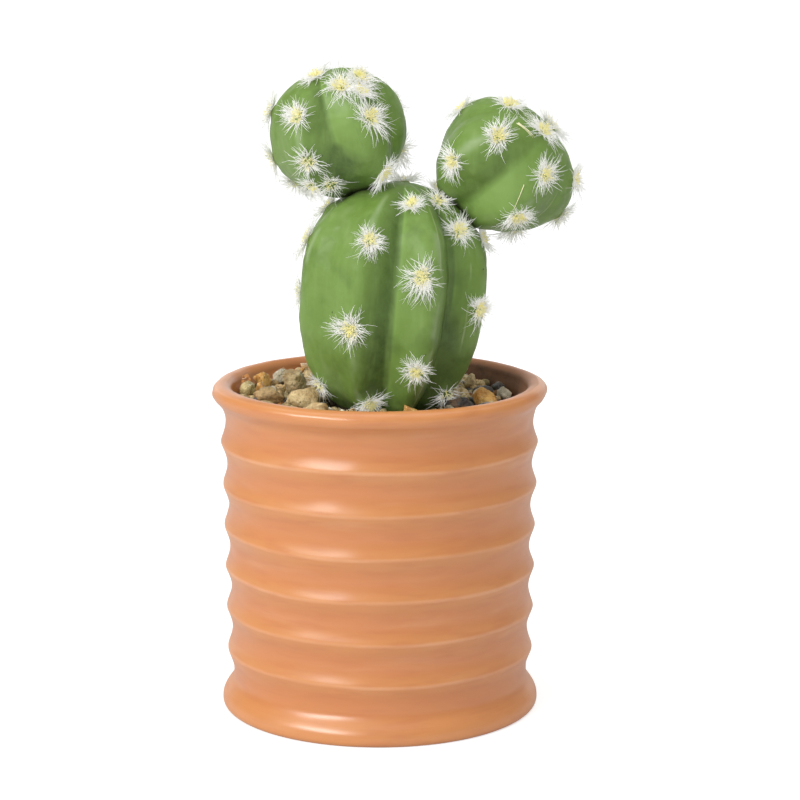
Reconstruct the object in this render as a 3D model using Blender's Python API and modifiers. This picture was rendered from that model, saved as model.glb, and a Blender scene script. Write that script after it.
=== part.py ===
"""A potted cactus: a turned pot with ribbed walls, potting mix, a ribbed main stem that carries two round
offsets, and a mulch of loose pebbles. Metres, +Z up; the origin is the centre of the pot's underside."""

import math
import random

import bmesh
import bpy
from mathutils import Euler, Matrix, Vector
from mathutils.bvhtree import BVHTree

MM = 0.001
GAP = 0.3 * MM  # clearance kept between pieces that rest on each other

# Pot: six raised rings between a flared foot and a rolled rim.
POT_HEIGHT = 89.0 * MM
POT_STEPS = 40
RIM_RADIUS = 45.0 * MM
RIM_CENTRE_RADIUS = 42.3 * MM
RIM_RISE = 2.3 * MM
RIM_DROP = 2.6 * MM
RIM_UNDERSIDE_DEG = 50.0
NECK_HEIGHT = 82.0 * MM
RING_COUNT = 6
RING_PITCH = 11.45 * MM
RING_DEPTH = 1.4 * MM
RING_SOFTNESS = 0.1
LOWEST_RING_HEIGHT = 15.8 * MM
LOWEST_RING_RADIUS = 41.5 * MM
WALL_TAPER = 0.0226
RING_STATIONS = (0.0, 0.09, 0.28, 0.5, 0.72, 0.91)
FOOT_RADIUS = 43.1 * MM
FOOT_CORNER = 1.6 * MM
FOOT_CORNER_WIDTH = 1.0 * MM
FOOT_SHOULDER_HEIGHT = 4.6 * MM
FOOT_SHOULDER_INSET = 1.0 * MM
INNER_RADIUS = 38.6 * MM
INNER_CORNER = 4.0 * MM
INNER_TOP = 84.0 * MM
FLOOR_THICKNESS = 5.0 * MM

# Potting mix: fills the pot to a level below the rim, a little higher towards -X and +Y.
MIX_LEVEL = 82.5 * MM
MIX_SLOPES = (-0.04, 0.05)
MIX_TRIM = 2.0 * MM

# Stems. Each is a rounded body of ribs about an axis through its tip. A rib is stated by its azimuth, its
# reach as a share of the stem's radius, and the depth of the groove that follows it; an areole by its azimuth
# and its polar angle. Azimuths run from the front towards +X, polar angles from the tip, all in degrees.
FACETS_PER_RIB = 6
FLANK_FLATNESS = 0.9  # 0 for round ribs, towards 1 for ribs with flat flanks
TANGENT_STEP = 0.01
AREOLE_RADIUS = 2.1 * MM
AREOLE_HEIGHT = 0.9 * MM

MAIN_CENTRE = Vector((4.6, 0.0, 119.0)) * MM
MAIN_TIP = Vector((math.sin(math.radians(5.5)), 0.0, math.cos(math.radians(5.5))))
MAIN_RADIUS = 25.6 * MM
MAIN_ABOVE = 23.7 * MM
MAIN_BELOW = 40.6 * MM
MAIN_ROUNDNESS = (2.0, 2.9)
MAIN_GROOVE_SOFTNESS = 0.22
MAIN_ROWS = 18
MAIN_RIBS = (
    (-103, 0.99, 0.10),
    (-66, 1.05, 0.06),
    (-26, 1.00, 0.24),
    (23, 1.00, 0.26),
    (71, 0.98, 0.09),
    (99, 0.95, 0.12),
    (135, 1.02, 0.17),
    (173, 1.00, 0.17),
    (215, 1.00, 0.13),
)
MAIN_AREOLES = (
    *((-103, 52), (-100, 96), (-122, 126)),
    *((-72, 72), (-67, 136)),
    *((-21, 64), (-25, 101), (-15, 139)),
    *((11, 34), (16, 84), (19, 115)),
    *((58, 55), (66, 94), (64, 131)),
    *((96, 64), (108, 96), (114, 126)),
    *((122, 26), (135, 80), (136, 113)),
    *((180, 16), (172, 60), (174, 97), (172, 128)),
    *((214, 38), (216, 84), (214, 118)),
)

OFFSET_GROOVE_SOFTNESS = 0.24
OFFSET_ROWS = 14

LEFT_CENTRE = Vector((-10.4, 0.0, 154.9)) * MM
LEFT_TIP = Vector((-0.28, -0.20, 0.94))
LEFT_RADIUS = 17.8 * MM
LEFT_ABOVE = 18.0 * MM
LEFT_BELOW = 15.8 * MM
LEFT_ROUNDNESS = (2.1, 2.1)
LEFT_RIBS = (
    (-110, 1.08, 0.08),
    (-44, 0.93, 0.23),
    (33, 0.96, 0.18),
    (104, 1.03, 0.10),
    (175, 1.00, 0.10),
)
LEFT_AREOLES = (
    *((-108, 56), (-103, 96), (-106, 128)),
    *((-40, 52), (-34, 90), (-42, 115), (-25, 119)),
    *((29, 34), (47, 48), (36, 70), (37, 124)),
    *((80, 38), (120, 82), (112, 128)),
    *((-30, 9), (175, 52), (177, 90), (174, 124)),
)

RIGHT_CENTRE = Vector((34.3, 0.0, 147.5)) * MM
RIGHT_TIP = Vector((0.75, -0.40, 0.65))
RIGHT_RADIUS = 18.5 * MM
RIGHT_ABOVE = 14.5 * MM
RIGHT_BELOW = 19.6 * MM
RIGHT_ROUNDNESS = (2.05, 2.05)
RIGHT_RIBS = (
    (-108, 1.04, 0.10),
    (-42, 1.07, 0.20),
    (32, 0.93, 0.14),
    (104, 1.07, 0.14),
    (178, 0.89, 0.14),
)
RIGHT_AREOLES = (
    *((-90, 41), (-98, 92)),
    *((-40, 8), (-35, 54), (-37, 102)),
    *((32, 45), (37, 94)),
    *((100, 45), (103, 92), (104, 130)),
    *((178, 40), (180, 84), (176, 124)),
)

# Pebbles: first the larger stones at stated places, then a bed that fills the ground between them.
STONE_SEED = 17
STONE_ROUGHNESS = 0.09
STONE_TILT = 0.25
STONE_DROP_HEIGHT = 96.0 * MM
STONE_STEP = 0.25 * MM
STEM_FOOT = (1.2 * MM, 0.0)
# Place (x, y) and half length, width and thickness in mm, then heading in degrees.
LARGE_STONES = (
    (-35.7, 0.5, 2.2, 2.0, 2.2, 90),
    (-29.4, -8.0, 3.9, 2.8, 2.6, 20),
    (-32.0, 3.8, 1.8, 1.6, 1.8, 30),
    (-32.2, 10.5, 2.6, 2.3, 2.4, 0),
    (-36.4, 7.5, 1.6, 1.5, 2.4, 0),
    (-27.4, 15.5, 2.5, 2.1, 2.3, 30),
    (-23.3, 4.2, 4.0, 3.6, 3.8, 40),
    (-22.8, 24.6, 2.0, 1.7, 1.6, 10),
    (-19.4, 19.5, 2.3, 1.9, 1.9, 60),
    (-20.6, -10.2, 4.6, 3.0, 2.8, 15),
    (-18.4, -4.4, 2.5, 2.1, 2.3, 120),
    (-16.4, -17.0, 3.2, 2.2, 2.0, 165),
    (25.0, 19.0, 1.8, 1.5, 2.3, 60),
    (22.4, -0.8, 1.8, 1.5, 2.1, 90),
    (28.8, -1.6, 3.7, 3.1, 2.9, 0),
    (33.6, 8.8, 2.7, 2.1, 1.7, 150),
    (32.3, 14.6, 2.0, 1.8, 1.9, 45),
    (20.8, -7.0, 3.6, 2.4, 1.9, 170),
    (8.9, -22.0, 2.4, 2.2, 3.2, 40),
    (4.6, -26.5, 2.6, 2.0, 2.2, 0),
)
BED_COUNT = 30
BED_TRIALS = 40
BED_INNER = 20.0 * MM
BED_OUTER = 35.0 * MM
BED_SIZES = ((2.8, 4.2), (2.3, 3.3), (1.4, 2.0))  # ranges of half length, width and thickness, mm

COLOURS = {
    "terracotta": ((0.700, 0.290, 0.140, 1.0), 0.45),
    "potting_mix": ((0.060, 0.040, 0.028, 1.0), 0.95),
    "cactus_green": ((0.190, 0.330, 0.070, 1.0), 0.60),
    "pebble": ((0.380, 0.270, 0.150, 1.0), 0.55),
}


def clear_scene():
    for thing in list(bpy.data.objects):
        bpy.data.objects.remove(thing, do_unlink=True)


def new_collection(name):
    collection = bpy.data.collections.new(name)
    bpy.context.scene.collection.children.link(collection)
    return collection


def make_material(name):
    colour, roughness = COLOURS[name]
    material = bpy.data.materials.new(name)
    material.use_nodes = True
    shader = material.node_tree.nodes["Principled BSDF"]
    shader.inputs["Base Color"].default_value = colour
    shader.inputs["Roughness"].default_value = roughness
    shader.inputs["Metallic"].default_value = 0.0
    material.diffuse_color = colour
    return material


def add_object(name, mesh, collection, material=None, sharp_deg=40.0):
    """Links a mesh as a smooth-shaded object of its own."""
    thing = bpy.data.objects.new(name, mesh)
    collection.objects.link(thing)
    if material:
        mesh.materials.append(material)
    mesh.shade_smooth()
    mesh.set_sharp_from_angle(angle=math.radians(sharp_deg))
    return thing


def mesh_of(shape, name):
    """Turns a bmesh into a mesh and frees it."""
    mesh = bpy.data.meshes.new(name)
    shape.to_mesh(mesh)
    shape.free()
    return mesh


def hide_cutter(thing):
    thing.hide_render = True
    thing.display_type = "WIRE"


def add_boolean(thing, cutter, operation):
    modifier = thing.modifiers.new(operation.lower(), "BOOLEAN")
    modifier.operation = operation
    modifier.solver = "EXACT"
    modifier.object = cutter


def turned_object(name, profile, collection, material):
    """Turns a profile of (radius, height) points, which runs down the outer side, about the Z axis."""
    mesh = bpy.data.meshes.new(name)
    points = [(radius, 0.0, height) for radius, height in profile]
    edges = [(i, i + 1) for i in range(len(points) - 1)]
    mesh.from_pydata(points, edges, [])
    thing = add_object(name, mesh, collection, material)
    screw = thing.modifiers.new("turn", "SCREW")
    screw.axis = "Z"
    screw.angle = 2 * math.pi
    screw.steps = POT_STEPS
    screw.render_steps = POT_STEPS
    screw.use_merge_vertices = True
    screw.merge_threshold = 0.0001 * MM
    return thing


# ---- Pot and potting mix ---------------------------------------------------------------------------


def crest_radius(height):
    """Radius of the tapering line that joins the crests of the rings."""
    return LOWEST_RING_RADIUS + WALL_TAPER * (height - LOWEST_RING_HEIGHT)


def wall_radius(height):
    """Outer radius of the ribbed wall: narrow crests one pitch apart, with wide hollows between."""
    wave = math.sin(math.pi * (height - LOWEST_RING_HEIGHT) / RING_PITCH)
    hollow = math.hypot(RING_SOFTNESS, wave) - RING_SOFTNESS
    deepest = math.hypot(RING_SOFTNESS, 1.0) - RING_SOFTNESS
    return crest_radius(height) - RING_DEPTH * hollow / deepest


def arc(centre, half_width, half_height, start_deg, end_deg, count):
    """Points along an elliptical arc, angles measured from the outward direction towards +Z."""
    points = []
    for i in range(count + 1):
        angle = math.radians(start_deg + (end_deg - start_deg) * i / count)
        points.append((centre[0] + half_width * math.cos(angle), centre[1] + half_height * math.sin(angle)))
    return points


def rim_profile():
    """The rolled rim, from the inner wall over the top and under to the neck."""
    half_width = RIM_RADIUS - RIM_CENTRE_RADIUS
    centre = (RIM_CENTRE_RADIUS, POT_HEIGHT - RIM_RISE)
    top = arc(centre, half_width, RIM_RISE, 180, 0, 8)
    under = arc(centre, half_width, RIM_DROP, 0, -RIM_UNDERSIDE_DEG, 2)
    return top + under[1:]


def ring_heights():
    """Heights of the wall's points, from the neck down to the hollow over the foot."""
    lowest = LOWEST_RING_HEIGHT - 0.5 * RING_PITCH
    heights = [NECK_HEIGHT]
    for ring in reversed(range(-1, RING_COUNT)):
        for station in reversed(RING_STATIONS):
            height = LOWEST_RING_HEIGHT + (ring + station) * RING_PITCH
            if lowest - GAP <= height < NECK_HEIGHT - MM:
                heights.append(height)
    return heights


def foot_profile():
    """The foot: flares out from the lowest hollow, rounds over and ends on the flat underside."""
    centre = (FOOT_RADIUS - FOOT_CORNER_WIDTH, FOOT_CORNER)
    hollow = LOWEST_RING_HEIGHT - 0.5 * RING_PITCH
    flare = []
    for share in (0.35, 0.7):
        height = hollow + share * (FOOT_SHOULDER_HEIGHT - hollow)
        reach = (1 - math.cos(math.pi * share)) / 2
        spread = FOOT_RADIUS - FOOT_SHOULDER_INSET - wall_radius(hollow)
        flare.append((wall_radius(hollow) + reach * spread, height))
    return flare + arc(centre, FOOT_CORNER_WIDTH, FOOT_CORNER, 50, -90, 5)


def inner_profile():
    """The inner wall, from the middle of the pot's floor up to the rim's inner edge."""
    centre = (INNER_RADIUS - INNER_CORNER, FLOOR_THICKNESS + INNER_CORNER)
    corner = arc(centre, INNER_CORNER, INNER_CORNER, -90, 0, 3)
    return [(0.0, FLOOR_THICKNESS)] + corner + [(INNER_RADIUS, INNER_TOP)]


def build_pot(collection):
    wall = [(wall_radius(height), height) for height in ring_heights()]
    profile = inner_profile() + rim_profile() + wall + foot_profile() + [(0.0, 0.0)]
    return turned_object("pot", profile, collection, make_material("terracotta"))


def build_mix(collection, cutters):
    """The fill: a plug that stands clear of the pot's floor and wall by the gap, trimmed to its slope."""
    radius = INNER_RADIUS - GAP
    floor = FLOOR_THICKNESS + GAP
    centre = (radius - INNER_CORNER, floor + INNER_CORNER)
    side = arc(centre, INNER_CORNER, INNER_CORNER, 0, -90, 3)
    top = MIX_LEVEL + MIX_TRIM
    profile = [(0.0, top), (radius, top)] + side + [(0.0, floor)]
    mix = turned_object("potting_mix", profile, collection, make_material("potting_mix"))
    shape = bmesh.new()
    bmesh.ops.create_cube(shape, size=2 * POT_HEIGHT)
    shape.transform(Matrix.Translation((0.0, 0.0, POT_HEIGHT)))
    shape.transform(Matrix.Rotation(math.atan(-MIX_SLOPES[0]), 4, "Y"))
    shape.transform(Matrix.Rotation(math.atan(MIX_SLOPES[1]), 4, "X"))
    shape.transform(Matrix.Translation((0.0, 0.0, MIX_LEVEL)))
    cutter = add_object("mix_trim", mesh_of(shape, "mix_trim"), cutters)
    hide_cutter(cutter)
    add_boolean(mix, cutter, "DIFFERENCE")
    return mix


# ---- Stems -----------------------------------------------------------------------------------------


class Stem:
    """A ribbed, rounded body: where it stands, how large it is and where its ribs and areoles are."""

    def __init__(self, centre, tip, radius, heights, roundness, ribs, softness, areoles, rows):
        self.centre = centre
        self.axis = tip.normalized()
        towards_front = Vector((0.0, -1.0, 0.0))
        self.front = (towards_front - self.axis * towards_front.dot(self.axis)).normalized()
        self.side = self.axis.cross(self.front)
        self.radius = radius
        self.heights = heights
        self.roundness = roundness
        self.ribs = ribs
        self.softness = softness
        self.places = areoles
        self.rows = rows

    def rib_pair(self, index):
        """A rib and the one after it, with the angle between them."""
        rib = self.ribs[index % len(self.ribs)]
        after = self.ribs[(index + 1) % len(self.ribs)]
        return rib, after, (after[0] - rib[0]) % 360

    def turn_of(self, azimuth):
        """An azimuth as a turn counted in ribs, the way the mesh's columns are spaced."""
        for index in range(len(self.ribs)):
            rib, _, width = self.rib_pair(index)
            past = (azimuth - rib[0]) % 360
            if past < width:
                return index + past / width
        raise ValueError(f"no rib interval holds azimuth {azimuth}")

    def section(self, turn):
        """Azimuth in radians and share of the radius at a turn: reach from rib to rib, less the groove."""
        phase = turn - math.floor(turn)
        (start, reach, depth), (_, next_reach, _), width = self.rib_pair(math.floor(turn))
        height = math.asin(FLANK_FLATNESS * math.cos(math.pi * phase)) / math.asin(FLANK_FLATNESS)
        swell = math.hypot(height, self.softness) - self.softness
        full = math.hypot(1.0, self.softness) - self.softness
        blend = (1 - math.cos(math.pi * phase)) / 2
        share = (reach + (next_reach - reach) * blend) * (1 - depth * (1 - swell / full))
        return math.radians(start + phase * width), share

    def point(self, turn, polar):
        """Point on the surface: a superellipse down from the tip, cut in by the grooves."""
        azimuth, share = self.section(turn)
        rise = math.cos(polar)
        half = 0 if rise > 0 else 1
        along = math.copysign(abs(rise) ** (2 / self.roundness[half]), rise) * self.heights[half]
        across = math.sin(azimuth) * self.side + math.cos(azimuth) * self.front
        return self.centre + along * self.axis + self.radius * math.sin(polar) * share * across

    def normal(self, turn, polar):
        """Outward direction at a point of the surface, from its two tangents."""
        step = TANGENT_STEP
        down = self.point(turn, polar + step) - self.point(turn, polar - step)
        around = self.point(turn + step, polar) - self.point(turn - step, polar)
        return down.cross(around).normalized()

    def shape(self, grow=0.0):
        """A sphere's rows moved onto the surface, then swelled outwards by grow."""
        shape = bmesh.new()
        segments = FACETS_PER_RIB * len(self.ribs)
        bmesh.ops.create_uvsphere(shape, u_segments=segments, v_segments=self.rows, radius=1.0)
        for vertex in shape.verts:
            turn = math.atan2(vertex.co.y, vertex.co.x) / (2 * math.pi) * len(self.ribs)
            polar = math.acos(max(-1.0, min(1.0, vertex.co.z)))
            vertex.co = self.point(turn, polar)
        bmesh.ops.recalc_face_normals(shape, faces=shape.faces)
        shape.normal_update()
        for vertex, outward in [(v, v.normal.copy()) for v in shape.verts]:
            vertex.co += outward * grow
        return shape

    def areoles(self):
        """The low cushions that the spines grow from, one at each stated place."""
        shape = bmesh.new()
        size = Matrix.Diagonal((AREOLE_RADIUS, AREOLE_RADIUS, AREOLE_HEIGHT, 1.0))
        for azimuth, degrees in self.places:
            turn = self.turn_of(azimuth)
            polar = math.radians(degrees)
            turned = self.normal(turn, polar).to_track_quat("Z", "Y").to_matrix().to_4x4()
            place = Matrix.Translation(self.point(turn, polar)) @ turned @ size
            bmesh.ops.create_icosphere(shape, subdivisions=1, radius=1.0, matrix=place)
        return shape


def main_stem():
    return Stem(
        MAIN_CENTRE,
        MAIN_TIP,
        MAIN_RADIUS,
        (MAIN_ABOVE, MAIN_BELOW),
        MAIN_ROUNDNESS,
        MAIN_RIBS,
        MAIN_GROOVE_SOFTNESS,
        MAIN_AREOLES,
        MAIN_ROWS,
    )


def left_offset():
    return Stem(
        LEFT_CENTRE,
        LEFT_TIP,
        LEFT_RADIUS,
        (LEFT_ABOVE, LEFT_BELOW),
        LEFT_ROUNDNESS,
        LEFT_RIBS,
        OFFSET_GROOVE_SOFTNESS,
        LEFT_AREOLES,
        OFFSET_ROWS,
    )


def right_offset():
    return Stem(
        RIGHT_CENTRE,
        RIGHT_TIP,
        RIGHT_RADIUS,
        (RIGHT_ABOVE, RIGHT_BELOW),
        RIGHT_ROUNDNESS,
        RIGHT_RIBS,
        OFFSET_GROOVE_SOFTNESS,
        RIGHT_AREOLES,
        OFFSET_ROWS,
    )


def build_stem(name, stem, collection, cutters, material):
    """A stem's body with its areoles joined on."""
    body = add_object(name, mesh_of(stem.shape(), name), collection, material)
    cushions = add_object(name + "_areoles", mesh_of(stem.areoles(), name + "_areoles"), cutters)
    hide_cutter(cushions)
    add_boolean(body, cushions, "UNION")
    return body


def cut_seat(thing, name, stem, cutters):
    """Cuts the hollow that a stem rests in, wider than the stem by the gap."""
    cutter = add_object(name, mesh_of(stem.shape(GAP), name), cutters)
    hide_cutter(cutter)
    add_boolean(thing, cutter, "DIFFERENCE")


# ---- Pebbles ---------------------------------------------------------------------------------------


def stone_shape(half_sizes, heading_deg, chance):
    """An icosphere drawn out to three half sizes, dented at its vertices and turned to its heading."""
    shape = bmesh.new()
    bmesh.ops.create_icosphere(shape, subdivisions=2, radius=1.0)
    for vertex in shape.verts:
        vertex.co *= 1 + chance.uniform(-STONE_ROUGHNESS, STONE_ROUGHNESS)
    tilt_x = chance.uniform(-STONE_TILT, STONE_TILT)
    tilt_y = chance.uniform(-STONE_TILT, STONE_TILT)
    turned = Euler((tilt_x, tilt_y, math.radians(heading_deg))).to_matrix().to_4x4()
    shape.transform(turned @ Matrix.Diagonal((*half_sizes, 1.0)))
    shape.normal_update()
    return shape


def evaluated_surface(thing):
    """Points and faces of an object's surface as its modifiers leave it."""
    seen = thing.evaluated_get(bpy.context.evaluated_depsgraph_get())
    mesh = seen.to_mesh()
    points = [thing.matrix_world @ vertex.co for vertex in mesh.vertices]
    faces = [list(face.vertices) for face in mesh.polygons]
    seen.to_mesh_clear()
    return points, faces


def swelled_surface(shape):
    """Points and faces of a stone that is larger by the gap all round."""
    points = [vertex.co + vertex.normal * GAP for vertex in shape.verts]
    return points, [[vertex.index for vertex in face.verts] for face in shape.faces]


def tree_of(surface, place=Vector()):
    """Search tree over points and faces moved to a place."""
    points, faces = surface
    return BVHTree.FromPolygons([point + place for point in points], faces)


class Ground:
    """Everything laid so far that a stone can come to rest on."""

    def __init__(self, surfaces):
        self.points = []
        self.faces = []
        for surface in surfaces:
            self.add(surface)

    def add(self, surface, place=Vector()):
        points, faces = surface
        first = len(self.points)
        self.points += [point + place for point in points]
        self.faces += [[first + corner for corner in face] for face in faces]
        self.tree = BVHTree.FromPolygons(self.points, self.faces)

    def rest(self, stone, x, y):
        """Where a stone lowered over a place first meets the ground."""
        place = Vector((x, y, STONE_DROP_HEIGHT))
        step = Vector((0.0, 0.0, STONE_STEP))
        while place.z > NECK_HEIGHT and not tree_of(stone, place - step).overlap(self.tree):
            place -= step
        return place


def mix_height(x, y):
    """Height of the potting mix's surface at a place."""
    return MIX_LEVEL + MIX_SLOPES[0] * x + MIX_SLOPES[1] * y


def clear_place(stone, x, y, ground, trunk):
    """Rests a stone at a place, moved out from the main stem step by step until it is clear of it."""
    place = ground.rest(stone, x, y)
    while tree_of(stone, place).overlap(trunk):
        outward = Vector((x - STEM_FOOT[0], y - STEM_FOOT[1])).normalized() * STONE_STEP
        x += outward.x
        y += outward.y
        place = ground.rest(stone, x, y)
    return place


def bed_place(chance):
    """A random place in the ring between the main stem's foot and the wall, evenly by area."""
    radius = math.sqrt(chance.uniform(BED_INNER**2, BED_OUTER**2))
    angle = chance.uniform(0, 2 * math.pi)
    return radius * math.cos(angle), radius * math.sin(angle)


def build_pebbles(collection, pot, mix, body):
    """Lays the large stones, then the bed: each of its stones at the lowest of its trial places."""
    chance = random.Random(STONE_SEED)
    material = make_material("pebble")
    trunk = tree_of(evaluated_surface(body))
    ground = Ground([evaluated_surface(pot), evaluated_surface(mix)])
    for index in range(len(LARGE_STONES) + BED_COUNT):
        if index < len(LARGE_STONES):
            x, y, *half_sizes, heading = LARGE_STONES[index]
            trials = [(x * MM, y * MM)]
        else:
            half_sizes = [chance.uniform(*span) for span in BED_SIZES]
            heading = chance.uniform(0, 180)
            trials = [bed_place(chance) for _ in range(BED_TRIALS)]
        shape = stone_shape([size * MM for size in half_sizes], heading, chance)
        stone = swelled_surface(shape)
        places = [clear_place(stone, x, y, ground, trunk) for x, y in trials]
        place = min(places, key=lambda spot: spot.z - mix_height(spot.x, spot.y))
        shape.transform(Matrix.Translation(place))
        name = f"pebble_{index + 1:02d}"
        add_object(name, mesh_of(shape, name), collection, material, sharp_deg=60.0)
        ground.add(stone, place)


def main():
    clear_scene()
    parts = new_collection("potted_cactus")
    cutters = new_collection("cutters")
    pot = build_pot(parts)
    mix = build_mix(parts, cutters)
    green = make_material("cactus_green")
    trunk = main_stem()
    left = left_offset()
    right = right_offset()
    body = build_stem("main_stem", trunk, parts, cutters, green)
    cut_seat(body, "left_seat", left, cutters)
    cut_seat(body, "right_seat", right, cutters)
    build_stem("left_offset", left, parts, cutters, green)
    build_stem("right_offset", right, parts, cutters, green)
    cut_seat(mix, "foot_seat", trunk, cutters)
    bpy.context.view_layer.update()
    build_pebbles(parts, pot, mix, body)


main()
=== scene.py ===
"""Dresses the potted cactus: glazed pot, crumbly mix, ribbed stems with spine tufts, pebbles and grit.

Every piece is laid out in the row frame, in metres, +Z up, with the pot's underside centred on the origin.
"""

import math

import bpy
import numpy as np
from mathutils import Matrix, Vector


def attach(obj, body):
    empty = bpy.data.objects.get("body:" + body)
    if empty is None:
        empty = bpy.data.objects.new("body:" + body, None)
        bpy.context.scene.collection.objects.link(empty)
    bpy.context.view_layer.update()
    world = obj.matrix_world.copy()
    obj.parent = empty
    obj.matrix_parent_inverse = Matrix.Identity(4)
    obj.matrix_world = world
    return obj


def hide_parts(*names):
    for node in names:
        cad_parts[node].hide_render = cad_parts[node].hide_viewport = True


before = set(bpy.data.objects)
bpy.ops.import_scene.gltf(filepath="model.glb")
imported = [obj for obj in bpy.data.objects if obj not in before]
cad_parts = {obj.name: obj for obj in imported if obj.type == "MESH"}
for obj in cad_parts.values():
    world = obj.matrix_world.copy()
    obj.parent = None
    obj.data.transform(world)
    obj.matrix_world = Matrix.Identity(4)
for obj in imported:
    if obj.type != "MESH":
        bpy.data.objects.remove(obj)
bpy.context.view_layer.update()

bl_info = {
    "name": "Potted cactus",
    "version": (1, 0, 0),
    "blender": (4, 5, 0),
    "location": "3D View > Sidebar > Cactus",
    "description": "Builds the visible surfaces, materials and studio of a small potted cactus",
    "category": "Object",
}

MM = 0.001
TURN = 2 * math.pi

# ---- Stems: the same named values as the solids ----

# A rib is its azimuth in degrees from the front towards +X, its reach as a share of the radius, and the depth
# of the groove that follows it. An areole is its azimuth and its polar angle from the tip.
# The rest is for looks. A low shade is the azimuth of the rib before its groove, how far the groove's
# painted shade spreads low down, the polar angle at which that begins, and the strength of the painted
# highlight streak beside it. A pale spot is a patch of painted light: its azimuth, polar angle, radius in
# mm and strength. The shade edge is how soft the far edge of every painted shade is, and the polar angle at
# which shades are full. A thin tuft is the azimuth of its areole and its share of fibres. A thread is the
# places of its two ends and its number of strands.
MAIN_STEM = {
    "centre": (4.6, 0.0, 119.0),
    "tip": (math.sin(math.radians(5.5)), 0.0, math.cos(math.radians(5.5))),
    "radius": 25.6,
    "heights": (23.7, 40.6),
    "roundness": (2.0, 2.9),
    "softness": 0.22,
    "ribs": (
        *((-103, 0.99, 0.10), (-66, 1.05, 0.06), (-26, 1.00, 0.24), (23, 1.00, 0.26), (71, 0.98, 0.09)),
        *((99, 0.95, 0.12), (135, 1.02, 0.17), (173, 1.00, 0.17), (215, 1.00, 0.13)),
    ),
    "areoles": (
        *((-103, 52), (-100, 96), (-122, 126), (-72, 72), (-60, 131), (-21, 64), (-25, 101), (-15, 139)),
        *((11, 34), (16, 84), (19, 115), (58, 55), (66, 94), (64, 131), (96, 64), (108, 96), (114, 126)),
        *((122, 26), (135, 80), (136, 113), (180, 16), (172, 60), (174, 97), (172, 128)),
        *((214, 38), (216, 84), (214, 118), (56, 31)),
    ),
    "seams": (27, 60),
    "low_shades": ((-26, 0.0, 90.5, 1.0), (23, 0.50, 90.5, 1.0)),
    "thin_tufts": ((-60, 0.5), (64, 0.45), (56, 0.65)),
}
LEFT_OFFSET = {
    "centre": (-10.4, 0.0, 154.9),
    "tip": (-0.28, -0.20, 0.94),
    "radius": 17.8,
    "heights": (18.0, 15.8),
    "roundness": (2.1, 2.1),
    "softness": 0.24,
    "ribs": ((-110, 1.08, 0.08), (-44, 0.93, 0.23), (33, 0.96, 0.18), (104, 1.03, 0.10), (175, 1.00, 0.10)),
    "areoles": (
        *((-108, 56), (-103, 96), (-106, 128), (-40, 52), (-34, 90), (-42, 115), (-25, 119)),
        *((29, 34), (47, 48), (36, 70), (37, 124), (80, 38), (120, 82), (112, 128)),
        *((-30, 9), (175, 52), (177, 90), (174, 124)),
    ),
    "seams": (68, 200),
    "low_shades": ((-44, 0.32, 80, 0.45),),
    "painted_light_spots": ((20, 58, 7.0, 0.75),),
    "thin_tufts": ((-34, 0.6), (-42, 0.6), (-25, 0.45)),
}
RIGHT_OFFSET = {
    "centre": (34.3, 0.0, 147.5),
    "tip": (0.75, -0.40, 0.65),
    "radius": 18.5,
    "heights": (14.5, 19.6),
    "roundness": (2.05, 2.05),
    "softness": 0.24,
    "ribs": ((-108, 1.04, 0.10), (-42, 1.07, 0.20), (32, 0.93, 0.14), (104, 1.07, 0.14), (178, 0.89, 0.14)),
    "areoles": (
        *((-90, 41), (-98, 92), (-40, 8), (-35, 54), (-37, 102), (32, 45), (37, 94)),
        *((100, 45), (103, 92), (104, 130), (178, 40), (180, 84), (176, 124)),
    ),
    "seams": (70, 215),
    "painted_light_spots": ((14, 97, 9.0, 0.9), (-4, 114, 6.0, 0.9)),
    "shade_edge": (0.16, 75),
    "threads": (((-48, 32), (-16, 26), 7), ((19, 66), (29, 94), 1)),
}

# The kinds of gravel: light and dark tone, roughness and clear wet coat.
GRAVEL_KINDS = {
    "beige": ((0.80, 0.63, 0.34), (0.44, 0.30, 0.13), 0.50, 0.10),
    "straw": ((0.90, 0.76, 0.43), (0.52, 0.37, 0.14), 0.42, 0.20),
    "olive": ((0.66, 0.54, 0.26), (0.26, 0.19, 0.07), 0.45, 0.20),
    "brown": ((0.84, 0.58, 0.27), (0.34, 0.21, 0.09), 0.40, 0.30),
    "rust": ((0.60, 0.26, 0.07), (0.22, 0.08, 0.02), 0.40, 0.30),
    "orange": ((0.96, 0.60, 0.19), (0.56, 0.24, 0.05), 0.28, 0.55),
    "grey": ((0.88, 0.80, 0.62), (0.56, 0.49, 0.35), 0.50, 0.10),
    "slate": ((0.16, 0.152, 0.145), (0.05, 0.05, 0.052), 0.45, 0.20),
}
# The twenty large stones in the order of their nodes, and the kinds that all other stones draw from.
LARGE_STONE_KINDS = (
    *("olive", "brown", "orange", "orange", "rust", "grey", "beige", "orange", "beige", "beige"),
    *("olive", "beige", "beige", "straw", "orange", "grey", "slate", "slate", "orange", "beige"),
)
BED_KINDS = ("beige", "olive", "brown", "beige", "grey", "straw", "rust", "brown", "beige", "slate")


# ---- Settings ----


def a_number(name, description, default, unit="NONE"):
    return bpy.props.FloatProperty(name=name, description=description, default=default, unit=unit)


def a_length(name, description, millimetres):
    return a_number(name, description, millimetres * MM, "LENGTH")


def a_count(name, description, default):
    return bpy.props.IntProperty(name=name, description=description, default=default)


def a_colour(name, description, *rgb):
    return bpy.props.FloatVectorProperty(name=name, description=description, default=rgb, subtype="COLOR")


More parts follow.
